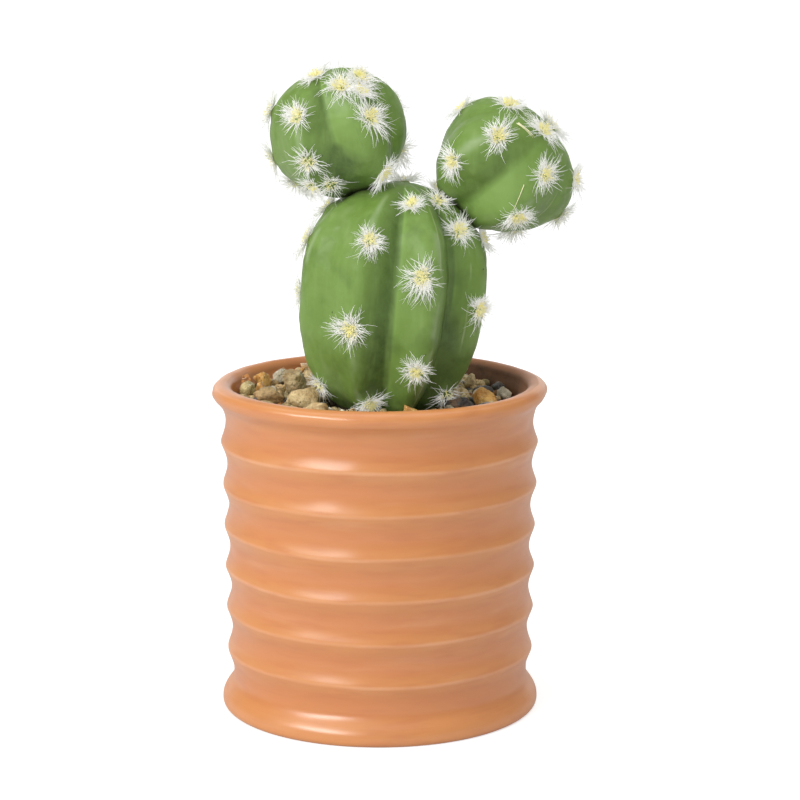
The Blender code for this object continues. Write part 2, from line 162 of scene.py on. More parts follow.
class PotSettings(bpy.types.PropertyGroup):
    """Sizes and glaze colours of the pot."""

    height: a_length("Height", "Height of the pot", 89.0)
    rim_radius: a_length("Rim radius", "Outer radius of the rolled rim", 45.0)
    ring_depth: a_length("Ring depth", "Depth of the hollows between rings", 1.4)
    glaze: a_colour("Glaze", "Glaze on the walls", 0.715, 0.286, 0.090)
    crest: a_colour("Crests", "Thin glaze on the crests", 0.800, 0.380, 0.180)
    hollow: a_colour("Hollows", "Thick glaze in the hollows", 0.668, 0.240, 0.072)


class StemSettings(bpy.types.PropertyGroup):
    """Skin colours of the stems."""

    skin: a_colour("Skin", "Skin on the ribs", 0.160, 0.272, 0.050)
    pale_skin: a_colour("Pale skin", "Paler patches of skin", 0.225, 0.360, 0.095)
    # Painted shade: this colour darkens the grooves and one flank of each rib.
    painted_groove_shade: a_colour("Groove skin", "Skin down in the grooves", 0.042, 0.076, 0.020)


class TuftSettings(bpy.types.PropertyGroup):
    """Sizes and colours of the spine tufts."""

    ray_length: a_length("Ray length", "Length of the spreading fibres", 5.3)
    fibre_radius: a_length("Fibre radius", "Radius of a fibre at its root", 0.115)
    rays: a_count("Rays", "Spreading fibres of a tuft", 132)
    crown: a_count("Crown", "Upright fibres of a tuft", 52)
    core: a_count("Core", "Yellow fibres of a tuft", 90)
    white: a_colour("White", "Outer fibres", 0.92, 0.92, 0.91)
    yellow: a_colour("Yellow", "Fibres of the core", 0.86, 0.78, 0.12)


class GravelSettings(bpy.types.PropertyGroup):
    """Numbers that shape the gravel."""

    flats: a_count("Flats", "Worn flats of a stone", 8)
    edge: a_number("Edge", "How crisp the stones' edges are", 16.0)
    grit: a_count("Grit", "Small stones between the pebbles", 780)


class StageSettings(bpy.types.PropertyGroup):
    """Camera, floor and lights."""

    distance: a_length("Distance", "Camera distance from its aim", 720.0)
    elevation: a_number("Elevation", "Camera angle above the horizon", math.radians(11.5), "ROTATION")
    lens: a_number("Lens", "Focal length in millimetres", 120.2)
    floor: a_colour("Floor", "Floor and backdrop", 0.62, 0.62, 0.62)
    glow: a_number("Glow", "White added to the floor as seen", 0.62)
    key: a_number("Key", "Power of the key light in watts", 6.45)
    top: a_number("Top", "Power of the light overhead in watts", 3.0)
    fill: a_number("Fill", "Brightness of the surroundings", 0.76)
    ceiling: a_number("Ceiling", "Brightness of the ceiling in reflections", 0.05)
    wall: a_number("Walls", "Brightness of the walls in reflections", 0.36)
    backdrop: a_number("Backdrop", "Brightness of the backdrop in reflections", 1.15)


# ---- Meshes ----


def make_object(name, points, faces, **values):
    """Mesh object from an array of points and a list of face arrays (each faces x corners). Each further
    value is one number per point, kept under its name for the material to read."""
    mesh = bpy.data.meshes.new(name)
    corners = np.concatenate([part.ravel() for part in faces]).astype(np.int32)
    sizes = np.concatenate([np.full(len(part), part.shape[1]) for part in faces])
    mesh.vertices.add(len(points))
    mesh.vertices.foreach_set("co", np.asarray(points, dtype=np.float32).ravel())
    mesh.loops.add(len(corners))
    mesh.loops.foreach_set("vertex_index", corners)
    mesh.polygons.add(len(sizes))
    mesh.polygons.foreach_set("loop_start", (np.cumsum(sizes) - sizes).astype(np.int32))
    mesh.update(calc_edges=True)
    mesh.validate()
    mesh.shade_smooth()
    for label, numbers in values.items():
        attribute = mesh.attributes.new(label, "FLOAT", "POINT")
        attribute.data.foreach_set("value", np.asarray(numbers, dtype=np.float32).ravel())
    thing = bpy.data.objects.new(name, mesh)
    bpy.context.scene.collection.objects.link(thing)
    return thing


def round_surface(rings, first_pole, last_pole):
    """Points and faces of a surface whose rings (rings x columns x 3) close round their columns, and whose
    ends close in fans on two poles. Rings run down from the first pole, columns run anticlockwise."""
    count, columns = rings.shape[:2]
    points = np.concatenate([rings.reshape(-1, 3), [first_pole, last_pole]])
    place = np.arange(count * columns).reshape(count, columns)
    after = np.roll(place, -1, axis=1)
    quads = np.stack([place[:-1], place[1:], after[1:], after[:-1]], axis=-1).reshape(-1, 4)
    first = np.stack([np.full(columns, count * columns), place[0], after[0]], axis=-1)
    last = np.stack([np.full(columns, count * columns + 1), after[-1], place[-1]], axis=-1)
    return points, [quads, first, last]


def joined(surfaces):
    """One set of points and faces from several round surfaces."""
    starts = np.cumsum([0] + [len(points) for points, _ in surfaces[:-1]])
    quads = [faces[0] + start for (_, faces), start in zip(surfaces, starts)]
    fans = [part + start for (_, faces), start in zip(surfaces, starts) for part in faces[1:]]
    return np.concatenate([points for points, _ in surfaces]), [np.concatenate(quads), np.concatenate(fans)]


def unit(vectors):
    return vectors / np.maximum(np.linalg.norm(vectors, axis=-1, keepdims=True), 1e-12)


def limited(values):
    return np.clip(values, 0, 1)


def round_angles(count):
    return np.linspace(0, TURN, count, endpoint=False)


def spun(radii, angles, heights):
    """Points at their radii, angles about Z from +X, and heights."""
    return np.stack(np.broadcast_arrays(radii * np.cos(angles), radii * np.sin(angles), heights), axis=-1)


def ripple(points, wavelength, seed, waves=18):
    """Smooth random relief from -1 to 1: a sum of cosine waves that cross the points in random directions."""
    chance = np.random.default_rng(seed)
    directions = unit(chance.normal(size=(waves, 3)))
    lengths = wavelength * chance.uniform(0.7, 1.5, waves)
    phases = chance.uniform(0, TURN, waves)
    crossing = zip(directions, lengths, phases)
    return sum(np.cos(points @ way * (TURN / length) + phase) for way, length, phase in crossing) / waves**0.5


def ripples(points, reliefs):
    """The sum of several ripples, each given by its size, wavelength and seed."""
    return sum(size * ripple(points, wavelength, seed) for size, wavelength, seed in reliefs)


# ---- Material nodes ----


class Nodes:
    """Adds nodes to one tree. Every input may be a number, a colour or the output of another node."""

    def __init__(self, tree):
        self.tree = tree

    def feed(self, node, inputs):
        """Sets or links a node's inputs; a colour becomes opaque."""
        for key, value in inputs.items():
            socket = node.inputs[key]
            if isinstance(value, bpy.types.NodeSocket):
                self.tree.links.new(value, socket)
            else:
                socket.default_value = (*value, 1.0) if socket.type == "RGBA" else value

    def add(self, kind, inputs, **options):
        """Adds a node, sets its options and feeds its inputs. Returns its outputs."""
        node = self.tree.nodes.new(kind)
        for option, value in options.items():
            setattr(node, option, value)
        self.feed(node, inputs)
        return node.outputs

    def maths(self, operation, *values):
        return self.add("ShaderNodeMath", dict(enumerate(values)), operation=operation)[0]

    def plus(self, first, second):
        return self.maths("ADD", first, second)

    def times(self, first, *others):
        for other in others:
            first = self.maths("MULTIPLY", first, other)
        return first

    def between(self, share, first, second):
        """The first value where the share is 0, the second where it is 1."""
        return self.plus(self.times(share, self.maths("SUBTRACT", second, first)), first)

    def ramp(self, value, low, high, to_low=0.0, to_high=1.0):
        """Maps a value between two limits, smoothly and clamped."""
        inputs = {"Value": value, "From Min": low, "From Max": high, "To Min": to_low, "To Max": to_high}
        return self.add("ShaderNodeMapRange", inputs, interpolation_type="SMOOTHSTEP")["Result"]

    def noise(self, vector, scale, detail=3.0, roughness=0.55):
        inputs = {"Vector": vector, "Scale": scale, "Detail": detail, "Roughness": roughness}
        return self.add("ShaderNodeTexNoise", inputs)["Fac"]

    def stretched(self, vector, scale):
        return self.add("ShaderNodeMapping", {"Vector": vector, "Scale": scale})[0]

    def value(self, name):
        """One of the numbers kept with the mesh."""
        return self.add("ShaderNodeAttribute", {}, attribute_name=name)["Fac"]

    def layered(self, colour, *layers):
        """The colour with others laid over it in order, each by its own share: (share, colour)."""
        for share, layer in layers:
            colour = self.add("ShaderNodeMix", {0: share, 6: colour, 7: layer}, data_type="RGBA")[2]
        return colour

    def effect(self, name, **inputs):
        """Places one of the shared node groups, which is built at its first use. Returns its outputs."""
        group = bpy.data.node_groups.get(name)
        if group is None:
            group = bpy.data.node_groups.new(name, "ShaderNodeTree")
            build, outputs = EFFECTS[name]
            for way, labels in (("INPUT", inputs), ("OUTPUT", outputs)):
                for label in labels:
                    kind = SOCKET_TYPES.get(label, "NodeSocketFloat")
                    group.interface.new_socket(label, in_out=way, socket_type=kind)
            inside = Nodes(group)
            results = build(inside, group.nodes.new("NodeGroupInput").outputs)
            inside.feed(group.nodes.new("NodeGroupOutput"), dict(zip(outputs, results)))
        return self.add("ShaderNodeGroup", inputs, node_tree=group)


def build_mottle(tree, given):
    """Uneven colour: a broad and a fine noise shift a colour towards its tint."""
    broad = tree.noise(given["Vector"], given["Scale"], 2.0)
    fine = tree.noise(given["Vector"], tree.times(given["Scale"], 6.0), 4.0, 0.7)
    mask = tree.ramp(tree.maths("MULTIPLY_ADD", fine, 0.45, tree.times(broad, 0.75)), 0.42, 0.80)
    return tree.layered(given["Color"], (tree.times(mask, given["Amount"]), given["Tint"])), mask


def build_pits(tree, given):
    """Scattered round dots: the distance to the nearest of random points, kept below a size that varies."""
    cells = tree.add("ShaderNodeTexVoronoi", {"Vector": given["Vector"], "Scale": given["Scale"]})
    picked = tree.add("ShaderNodeSeparateColor", {"Color": cells["Color"]})
    size = tree.times(given["Size"], tree.plus(picked[1], 0.35))
    dot = tree.ramp(cells["Distance"], tree.times(size, 0.35), size, 1.0, 0.0)
    return (tree.times(dot, tree.maths("LESS_THAN", picked[0], given["Share"])),)


def build_grain(tree, given):
    """Fine relief: two noises, one fine and one coarse, summed to a height."""
    fine = tree.noise(given["Vector"], given["Scale"], 4.0, 0.65)
    coarse = tree.noise(given["Vector"], tree.times(given["Scale"], 0.15), 2.0)
    return (tree.maths("MULTIPLY_ADD", coarse, given["Coarse"], fine),)


EFFECTS = {
    "mottle": (build_mottle, ("Color", "Mask")),
    "pits": (build_pits, ("Mask",)),
    "grain": (build_grain, ("Height",)),
}
SOCKET_TYPES = {"Vector": "NodeSocketVector", "Color": "NodeSocketColor", "Tint": "NodeSocketColor"}


class Finish(Nodes):
    """A material with a Principled shader, laid out on Object coordinates."""

    def __init__(self, name, **values):
        self.material = bpy.data.materials.new(name)
        self.material.use_nodes = True
        super().__init__(self.material.node_tree)
        self.place = self.add("ShaderNodeTexCoord", {})["Object"]
        self.set(**values)

    def set(self, **values):
        """Sets or links the shader's inputs, and returns the material."""
        inputs = {name.replace("_", " "): value for name, value in values.items()}
        self.feed(self.tree.nodes["Principled BSDF"], inputs)
        return self.material

    def relief(self, height, depth):
        """Bumps of the given depth in metres, from a height between 0 and 1."""
        return self.add("ShaderNodeBump", {"Height": height, "Distance": depth, "Strength": 1.0})["Normal"]


# ---- Pot ----

RING_PITCH = 11.45 * MM
RING_SOFTNESS = 0.1
LOWEST_RING_HEIGHT = 15.8 * MM
LOWEST_RING_RADIUS = 41.5 * MM
WALL_TAPER = 0.0226
NECK_HEIGHT = 82.0 * MM
NECK_HOLLOW = 0.22 * MM
RIM_ROLL, RIM_RISE, RIM_DROP = 2.7 * MM, 2.3 * MM, 2.6 * MM
LIP_BOTTOM = 86.5 * MM
FOOT_RADIUS = 43.1 * MM
FOOT_CORNER = (1.3 * MM, 1.5 * MM)
FLARE_TOP = 9.3 * MM
FOOT_SHOULDER = 4.6 * MM
INNER_RADIUS = 38.6 * MM
INNER_TOP = 82.5 * MM
THROAT_STEPS = np.array([[0.0, 83.8], [0.25, 85.0], [0.7, 86.0]]) * MM
FLOOR_THICKNESS = 5.0 * MM
FLOOR_CORNER = 4 * MM
POT_COLUMNS = 216

# The slow waves of hand-thrown ware: size, number round the pot, phase, and turn with each metre of height.
LIFTS = ((0.12 * MM, 3, 0.7, 90), (0.10 * MM, 5, 2.1, -140))
SWELLS = ((0.10 * MM, 2, 1.3, 60), (0.06 * MM, 7, 0.0, 230))
WAVES_START, WAVES_RISE = 3 * MM, 12 * MM
LIP_START, LIP_RISE = 84 * MM, 2 * MM
FRONT_RISE = 0.40 * MM
RIM_TOP, RIM_TOP_LIFT = 0.3 * MM, 0.6
# Faint unevenness of the wall and of the lip: size, wavelength and seed.
WALL_RELIEF, LIP_RELIEF = (0.05 * MM, 11 * MM, 21), (0.09 * MM, 7 * MM, 22)

# How thick the glaze lies where no ring says it: 0 as on a crest, 1 as in a hollow.
NECK_GLAZE, FOOT_GLAZE, INNER_GLAZE, LIP_GLAZE = 0.6, 0.3, 0.5, 0.6
THIN_LIP_ANGLE, THIN_LIP_SPREAD = 0.75, 1.6
# Painted shadow on the inner wall: it starts at this height, is full this far below it, and is strongest on
# one side, in radians from +X, with this least share on the other.
INNER_SHADOW_TOP = 89.7 * MM
INNER_SHADOW_DEPTH = 2.0 * MM
INNER_SHADOW_SIDE, LEAST_INNER_SHADOW = 0.75, 0.08

CLOUDED_GLAZE = (0.600, 0.190, 0.062)
MOTTLED_GLAZE = (0.62, 0.235, 0.085)
CHALKY_GLAZE = (0.90, 0.55, 0.35)
# Colour of the painted shadow on the inner wall.
SHADOWED_CLAY = (0.075, 0.034, 0.018)


def ring_hollow(heights):
    """How far into a hollow the wall is, 0 on a crest and 1 between two: a sine whose crests are narrow."""
    wave = np.sin(math.pi * (heights - LOWEST_RING_HEIGHT) / RING_PITCH)
    deepest = math.hypot(RING_SOFTNESS, 1.0) - RING_SOFTNESS
    return (np.hypot(RING_SOFTNESS, wave) - RING_SOFTNESS) / deepest


def pairs(radii, heights):
    return np.stack(np.broadcast_arrays(radii, heights), axis=-1)


def arc(centre, half_width, half_height, start_deg, end_deg, count):
    """Points along an elliptical arc, angles from the outward direction towards +Z."""
    angles = np.radians(np.linspace(start_deg, end_deg, count))
    return pairs(centre[0] + half_width * np.cos(angles), centre[1] + half_height * np.sin(angles))


def pot_profile(settings):
    """(radius, height) points from the inner floor over the rim and down the rings to the underside, and how
    many of them come before the rim's top. The neck is a straight line that sags inwards by a half sine, and
    the flare eases from the wall to the foot by the smootherstep polynomial."""
    corner = (INNER_RADIUS - FLOOR_CORNER, FLOOR_THICKNESS + FLOOR_CORNER)
    inner = arc(corner, FLOOR_CORNER, FLOOR_CORNER, -90, 0, 8)
    inner_wall = pairs(INNER_RADIUS, np.linspace(12 * MM, INNER_TOP, 10))
    throat = THROAT_STEPS + (INNER_RADIUS, 0)
    roll = (settings.rim_radius - RIM_ROLL, settings.height - RIM_RISE)
    top = arc(roll, RIM_ROLL, RIM_RISE, 175, 0, 34)
    under = arc(roll, RIM_ROLL, RIM_DROP, 0, -50, 12)[1:]
    heights = np.linspace(NECK_HEIGHT, LOWEST_RING_HEIGHT - 0.5 * RING_PITCH, 168)
    taper = LOWEST_RING_RADIUS + WALL_TAPER * (heights - LOWEST_RING_HEIGHT)
    wall = pairs(taper - settings.ring_depth * ring_hollow(heights), heights)
    share = np.linspace(0, 1, 8)[1:-1, None]
    neck = under[-1] + (wall[0] - under[-1]) * share
    neck[:, 0] -= NECK_HOLLOW * np.sin(math.pi * share[:, 0])
    share = np.linspace(0, 1, 24)[1:-1]
    ease = share**3 * (10 - 15 * share + 6 * share**2)
    flare_radii = wall[-1, 0] + ease * (FOOT_RADIUS - wall[-1, 0])
    flare = pairs(flare_radii, FLARE_TOP + share * (FOOT_CORNER[1] - FLARE_TOP))
    foot = arc((FOOT_RADIUS - FOOT_CORNER[0], FOOT_CORNER[1]), *FOOT_CORNER, 0, -90, 10)
    underside = pairs(np.linspace(FOOT_RADIUS - 2 * MM, 4 * MM, 5), 0.0)
    profile = np.concatenate([inner, inner_wall, throat, top, under, neck, wall, flare, foot, underside])
    return profile, len(inner) + len(inner_wall) + len(throat) + len(top) // 2


def pot_surface(settings):
    """The profile turned about Z. Slow waves round the pot lift and swell it a little, as hand-thrown ware
    does, and the glaze is faintly uneven, more so on the lip; all fade towards the flat foot. Returns the
    rings, how thick the glaze lies, and a painted shadow on the inner wall, darker down from the rim and on
    one side."""
    profile, before_top = pot_profile(settings)
    angles = round_angles(POT_COLUMNS)
    radius, height = profile[:, 0:1], profile[:, 1:2]

    def waves(terms):
        return sum(size * np.sin(k * angles + phase + twist * height) for size, k, phase, twist in terms)

    fade = limited((height - WAVES_START) / WAVES_RISE)
    lift = waves(LIFTS) * np.where(height < settings.height - RIM_TOP, 1, RIM_TOP_LIFT)
    around = spun(radius, angles, 1.6 * height)
    lip = limited((height - LIP_START) / LIP_RISE) * (radius > INNER_RADIUS + 1 * MM)
    r = radius + fade * (waves(SWELLS) + ripples(around, [WALL_RELIEF])) + lip * ripples(around, [LIP_RELIEF])
    z = height + fade * lift + lip * FRONT_RISE * (0.5 - 0.5 * np.sin(angles)) ** 2
    outside = np.arange(len(profile))[:, None] > before_top
    glaze = np.where(height < NECK_HEIGHT, ring_hollow(height), NECK_GLAZE)
    glaze = np.where(height < FOOT_SHOULDER, FOOT_GLAZE, glaze)
    glaze = np.where(outside, glaze, INNER_GLAZE)
    slope = np.arctan2(height - (settings.height - RIM_RISE), radius - (settings.rim_radius - RIM_ROLL))
    on_lip = np.clip(np.abs(slope - THIN_LIP_ANGLE) / THIN_LIP_SPREAD, 0, LIP_GLAZE)
    glaze = np.where(height > LIP_BOTTOM, on_lip, glaze)
    # Painted shadow on the inner wall, darker down from the rim and on one side.
    inner_shadow = np.where(outside, 0.0, limited((INNER_SHADOW_TOP - height) / INNER_SHADOW_DEPTH))
    inner_shadow = inner_shadow * (LEAST_INNER_SHADOW + (1 - LEAST_INNER_SHADOW) * (0.5 + 0.5 * np.cos(angles - INNER_SHADOW_SIDE)) ** 3)
    return spun(r, angles, z), np.repeat(glaze, POT_COLUMNS, axis=1), inner_shadow


def terracotta_material(settings):
    """Satin glaze over fired clay: thin and bright on the crests, thicker and darker in the hollows, clouded,
    with faint streaks round the pot. The inner wall carries a painted shadow, darker down from the rim and on
    one side, where the glaze is also rougher."""
    clay = Finish("terracotta_glaze", Roughness=0.32, Specular_IOR_Level=1.0)
    hollow = clay.value("hollow")
    around = clay.stretched(clay.place, (45.0, 45.0, 300.0))
    streaks = clay.noise(around, 1.0, 3.0, 0.5)
    crest = clay.times(clay.ramp(hollow, 0.14, 0.0), clay.ramp(streaks, 0.30, 0.62, 0.35, 1.0), 0.75)
    colour = clay.layered(
        settings.glaze,
        (clay.ramp(hollow, 0.25, 1.0), settings.hollow),
        (crest, settings.crest),
        (clay.ramp(clay.noise(around, 1.7, 2.0, 0.5), 0.45, 0.72, 0.0, 0.38), CLOUDED_GLAZE),
    )
    inputs = {"Vector": clay.place, "Color": colour, "Tint": MOTTLED_GLAZE}
    mottled = clay.effect("mottle", **inputs, Scale=40.0, Amount=0.22)
    # Painted shadow on the inner wall, a little uneven with the mottle; it also roughens the glaze.
    inner_shadow = clay.times(clay.value("inside"), clay.ramp(mottled["Mask"], 0, 1, 0.8, 1.0))
    chalky = clay.ramp(streaks, 0.54, 0.80, 0.0, 0.10)
    colour = clay.layered(mottled["Color"], (chalky, CHALKY_GLAZE), (inner_shadow, SHADOWED_CLAY))
    rough = clay.ramp(clay.noise(clay.place, 90.0, 2.0), 0.3, 0.7, 0.30, 0.345)
    return clay.set(Base_Color=colour, Roughness=clay.between(inner_shadow, rough, 0.8))


# ---- Potting mix ----

MIX_LEVEL = 82.5 * MM
MIX_SLOPES = (-0.04, 0.05)
MIX_RELIEF = 0.6 * MM
MIX_GRAINS = ((0.5, 7 * MM, 31), (0.35, 2.6 * MM, 32), (0.2, 1.2 * MM, 33))
MIX_GAP = 0.3 * MM
MIX_COLUMNS = 200

DARK_MIX, DRY_MIX, PALE_CRUMB = (0.030, 0.019, 0.012), (0.095, 0.058, 0.032), (0.24, 0.15, 0.08)


def on_mix(radii, angles):
    """Points on the crumbly surface: its slope plus relief at three grain sizes."""
    points = spun(radii, angles, 0.0)
    points[..., 2] = MIX_LEVEL + points[..., :2] @ MIX_SLOPES + MIX_RELIEF * ripples(points, MIX_GRAINS)
    return points


def mix_surface():
    """A plug that fills the pot: rings of a crumbly top, a straight side and a flat underside."""
    radius, floor = INNER_RADIUS - MIX_GAP, FLOOR_THICKNESS + MIX_GAP
    angles = round_angles(MIX_COLUMNS)
    top = on_mix(np.linspace(0.8 * MM, radius, 66)[:, None], angles)
    side_radii = np.array([radius, radius, radius, radius - FLOOR_CORNER])[:, None]
    side_heights = np.array([60 * MM, 30 * MM, floor + FLOOR_CORNER, floor])[:, None]
    rings = np.concatenate([top, spun(side_radii, angles, side_heights)])
    return round_surface(rings, on_mix(np.zeros(1), 0.0)[0], (0.0, 0.0, floor))


def soil_material():
    """Dark crumbly mix with a few pale and reddish crumbs."""
    soil = Finish("potting_soil", Roughness=0.95)
    mottled = soil.effect("mottle", Vector=soil.place, Color=DARK_MIX, Tint=DRY_MIX, Scale=320.0, Amount=0.9)
    crumbs = soil.effect("pits", Vector=soil.place, Scale=700.0, Size=0.4, Share=0.12)
    colour = soil.layered(mottled["Color"], (crumbs["Mask"], PALE_CRUMB))
    grain = soil.effect("grain", Vector=soil.place, Scale=1100.0, Coarse=2.0)
    return soil.set(Base_Color=colour, Normal=soil.relief(grain["Height"], MIX_RELIEF))


# ---- Stems ----

# Columns in each rib, and rows from tip to base.
MAIN_GRID, OFFSET_GRID = (30, 180), (40, 130)

FLANK_FLATNESS = 0.9
GROOVE_UNIT = 0.24
CUSHION_RADIUS = 2.1 * MM
CUSHION_HEIGHT = 0.7 * MM
BROAD_RELIEF, FINE_RELIEF = (0.16 * MM, 9 * MM), (0.05 * MM, 3 * MM)
SKIN_GAP = 0.12 * MM
PRESSING_STEPS = 4
# How far the painted shadow where the stems meet reaches.
JOINT_SHADOW_REACH = 0.13
SEAM_REACH = 3 * MM

# How quickly the relief and the marks come in from the tip and the base, where the ribs run together.
RELIEF_FADE, MARKS_FADE = 3, 1.6

# Painted shade and painted highlights on the skin, placed by their phase: 0 on a rib, 1 on the next.
SHADE_START, SHADE_RISE, SHADE_END = 0.08, 0.40, 0.52
# The streak is a painted highlight on the lit side just past each groove, and the ridge line a painted
# highlight just past each rib's top.
STREAK_PHASE, STREAK_WIDTH = 0.55, 0.06
RIDGE_LINE_PHASE, RIDGE_LINE_WIDTH = 0.06, 0.07
# The groove depth at which a painted shade is full.
FULL_GROOVE = 0.26

# The painted shade of a groove with a low shade ends sooner by the marked end. The low shade grows over an
# angle in radians. Where it is full it starts and rises sooner by these phases, its end is softer by this
# share of its spread, and it is darker and its painted highlight streak fainter by these shares.
NO_LOW_SHADE = (-1.0, 0.0, 0.0)
MARKED_END, LOW_SHADE_GROWTH = 0.03, 0.38
LOW_START, LOW_RISE, LOW_SOFTNESS, LOW_DARKENING, LOW_STREAK_LOSS = 0.10, 0.08, 0.8, 0.14, 0.7

# The first is painted light on pale spots and streaks; the second is the skin's own duller patches.
PAINTED_LIGHT_SKIN, DULL_SKIN = (0.240, 0.395, 0.095), (0.090, 0.165, 0.032)
# Waxy bloom, and a painted highlight line just past each rib's top.
WAXY_BLOOM, RIDGE_HIGHLIGHT_SKIN = (0.33, 0.45, 0.19), (0.36, 0.47, 0.25)
CUSHION_FELT, SEAM_SKIN = (0.36, 0.46, 0.20), (0.42, 0.52, 0.26)
# A painted shadow where the stems meet, and dark pinholes.
JOINT_SHADOW_TINT, PINHOLE_DARK = (0.040, 0.042, 0.024), (0.035, 0.060, 0.015)

# What a stem has when its own values don't say.
NO_MARKS = {"low_shades": (), "painted_light_spots": (), "shade_edge": (0.06, 1), "thin_tufts": (), "threads": ()}


class StemForm:
    """Surface of a ribbed, rounded body as a function of turn (counted in ribs) and polar angle."""

    def __init__(self, values):
        self.values = NO_MARKS | values
        self.centre = np.array(values["centre"]) * MM
        self.axis = unit(np.array(values["tip"]))
        front = np.array([0.0, -1.0, 0.0])
        self.front = unit(front - self.axis * front.dot(self.axis))
        self.side = np.cross(self.axis, self.front)
        self.radius = values["radius"] * MM
        self.heights = np.array(values["heights"]) * MM
        self.roundness = np.array(values["roundness"])
        self.softness = values["softness"]
        starts, reach, self.depth = np.array(values["ribs"], dtype=float).T
        self.starts = np.append(starts[0] + (starts - starts[0]) % 360, starts[0] + 360)
        self.reach = np.append(reach, reach[0])
        self.count = len(starts)

    def at(self, azimuths, polars):
        """Places and outward directions at azimuths and polar angles in degrees."""
        turns, polars = self.turns(np.asarray(azimuths)), np.radians(polars)
        return self.points(turns, polars), self.normals(turns, polars)

    def areoles(self):
        return self.at(*np.array(self.values["areoles"], dtype=float).T)

    def turns(self, azimuths):
        """Turns of azimuths in degrees: straight from rib to rib."""
        past = (azimuths - self.starts[0]) % 360
        return np.interp(past, self.starts - self.starts[0], np.arange(self.count + 1))

    def section(self, turns):
        """Azimuth in radians, share of the radius and groove (0 on a rib, 1 in a deep groove) at each turn.
        The reach eases from rib to rib. The groove is a wave with flat flanks, an arcsine of a flattened
        cosine, whose size is rounded off by the softness."""
        index = np.floor(turns).astype(int) % self.count
        phase = turns % 1
        height = np.arcsin(FLANK_FLATNESS * np.cos(math.pi * phase)) / math.asin(FLANK_FLATNESS)
        swell = np.hypot(height, self.softness) - self.softness
        groove = 1 - swell / (math.hypot(1.0, self.softness) - self.softness)
        ease = (1 - np.cos(math.pi * phase)) / 2
        reach = self.reach[index] + (self.reach[index + 1] - self.reach[index]) * ease
        azimuth = self.starts[index] + phase * (self.starts[index + 1] - self.starts[index])
        depth = self.depth[index]
        return np.radians(azimuth), reach * (1 - depth * groove), groove * depth / GROOVE_UNIT

    def points(self, turns, polars):
        """A superellipse down from the tip, turned about the axis and cut in by the grooves."""
        azimuth, share, _ = self.section(turns)
        rise = np.cos(polars)
        half = (rise <= 0).astype(int)
        along = np.sign(rise) * np.abs(rise) ** (2 / self.roundness[half]) * self.heights[half]
        across = np.sin(azimuth)[..., None] * self.side + np.cos(azimuth)[..., None] * self.front
        out = self.radius * np.sin(polars) * share
        return self.centre + along[..., None] * self.axis + out[..., None] * across

    def normals(self, turns, polars, step=0.01):
        """Outward directions, from the surface's two tangents."""
        down = self.points(turns, polars + step) - self.points(turns, polars - step)
        around = self.points(turns + step, polars) - self.points(turns - step, polars)
        return unit(np.cross(down, around))

    def fullness(self, points):
        """Below 1 inside the body, 1 on its surface: the superellipse's own equation."""
        local = points - self.centre
        along, side, front = local @ self.axis, local @ self.side, local @ self.front
        _, share, _ = self.section(self.turns(np.degrees(np.arctan2(side, front))))
        half = (along <= 0).astype(int)
        tall = (np.abs(along) / self.heights[half]) ** self.roundness[half]
        return tall + (np.hypot(side, front) / (self.radius * share)) ** 2

    def pressed_clear(self, points, gap):
        """Points inside the body pushed straight out from its centre to just clear of its surface."""
        local = points - self.centre
        scaled = local * (1 - gap / np.maximum(np.linalg.norm(local, axis=-1, keepdims=True), gap))
        inside = self.fullness(self.centre + scaled) < 1
        for _ in range(PRESSING_STEPS):
            fullness = self.fullness(self.centre + scaled)
            scaled = scaled * np.where(fullness < 1, fullness**-0.5, 1)[..., None]
        return np.where(inside[..., None], self.centre + scaled + gap * unit(local), points)


def groove_shades(form, turns, polars):
    """The painted shade on the near flank of each groove, and the painted highlight streak on its far side.
    The shade grows from the rib towards the groove and ends there, sharply or softly as the form says, and it
    is fainter in shallow grooves. A low shade starts sooner low on the stem, goes on past the groove and has
    a soft end. The streak is a bell across the groove's far edge, and grows faint low down."""
    phase = turns % 1
    rib = np.floor(turns).astype(int) % form.count
    low_shades = {start: shade for start, *shade in form.values["low_shades"]}
    shades = np.array([low_shades.get(start, NO_LOW_SHADE) for start in form.starts[:-1]])
    spread, top, streak = np.moveaxis(shades[rib], -1, 0)
    marked = spread >= 0
    low = limited((polars - np.radians(top)) / LOW_SHADE_GROWTH) * marked
    edge, full = form.values["shade_edge"]
    start = SHADE_START - LOW_START * low
    end = SHADE_END - MARKED_END * marked + spread * low
    softness = edge + LOW_SOFTNESS * np.maximum(spread, 0) * low
    shade = limited((phase - start) / (SHADE_RISE - LOW_RISE * low)) * limited((end - phase) / softness + 0.5)
    shade *= limited(form.depth[rib] / FULL_GROOVE) ** 2
    shade *= limited(polars / math.radians(full)) * (1 + LOW_DARKENING * low)
    bell = np.exp(-(((phase - STREAK_PHASE) / STREAK_WIDTH) ** 2))
    return shade, bell * streak * (1 - LOW_STREAK_LOSS * low)


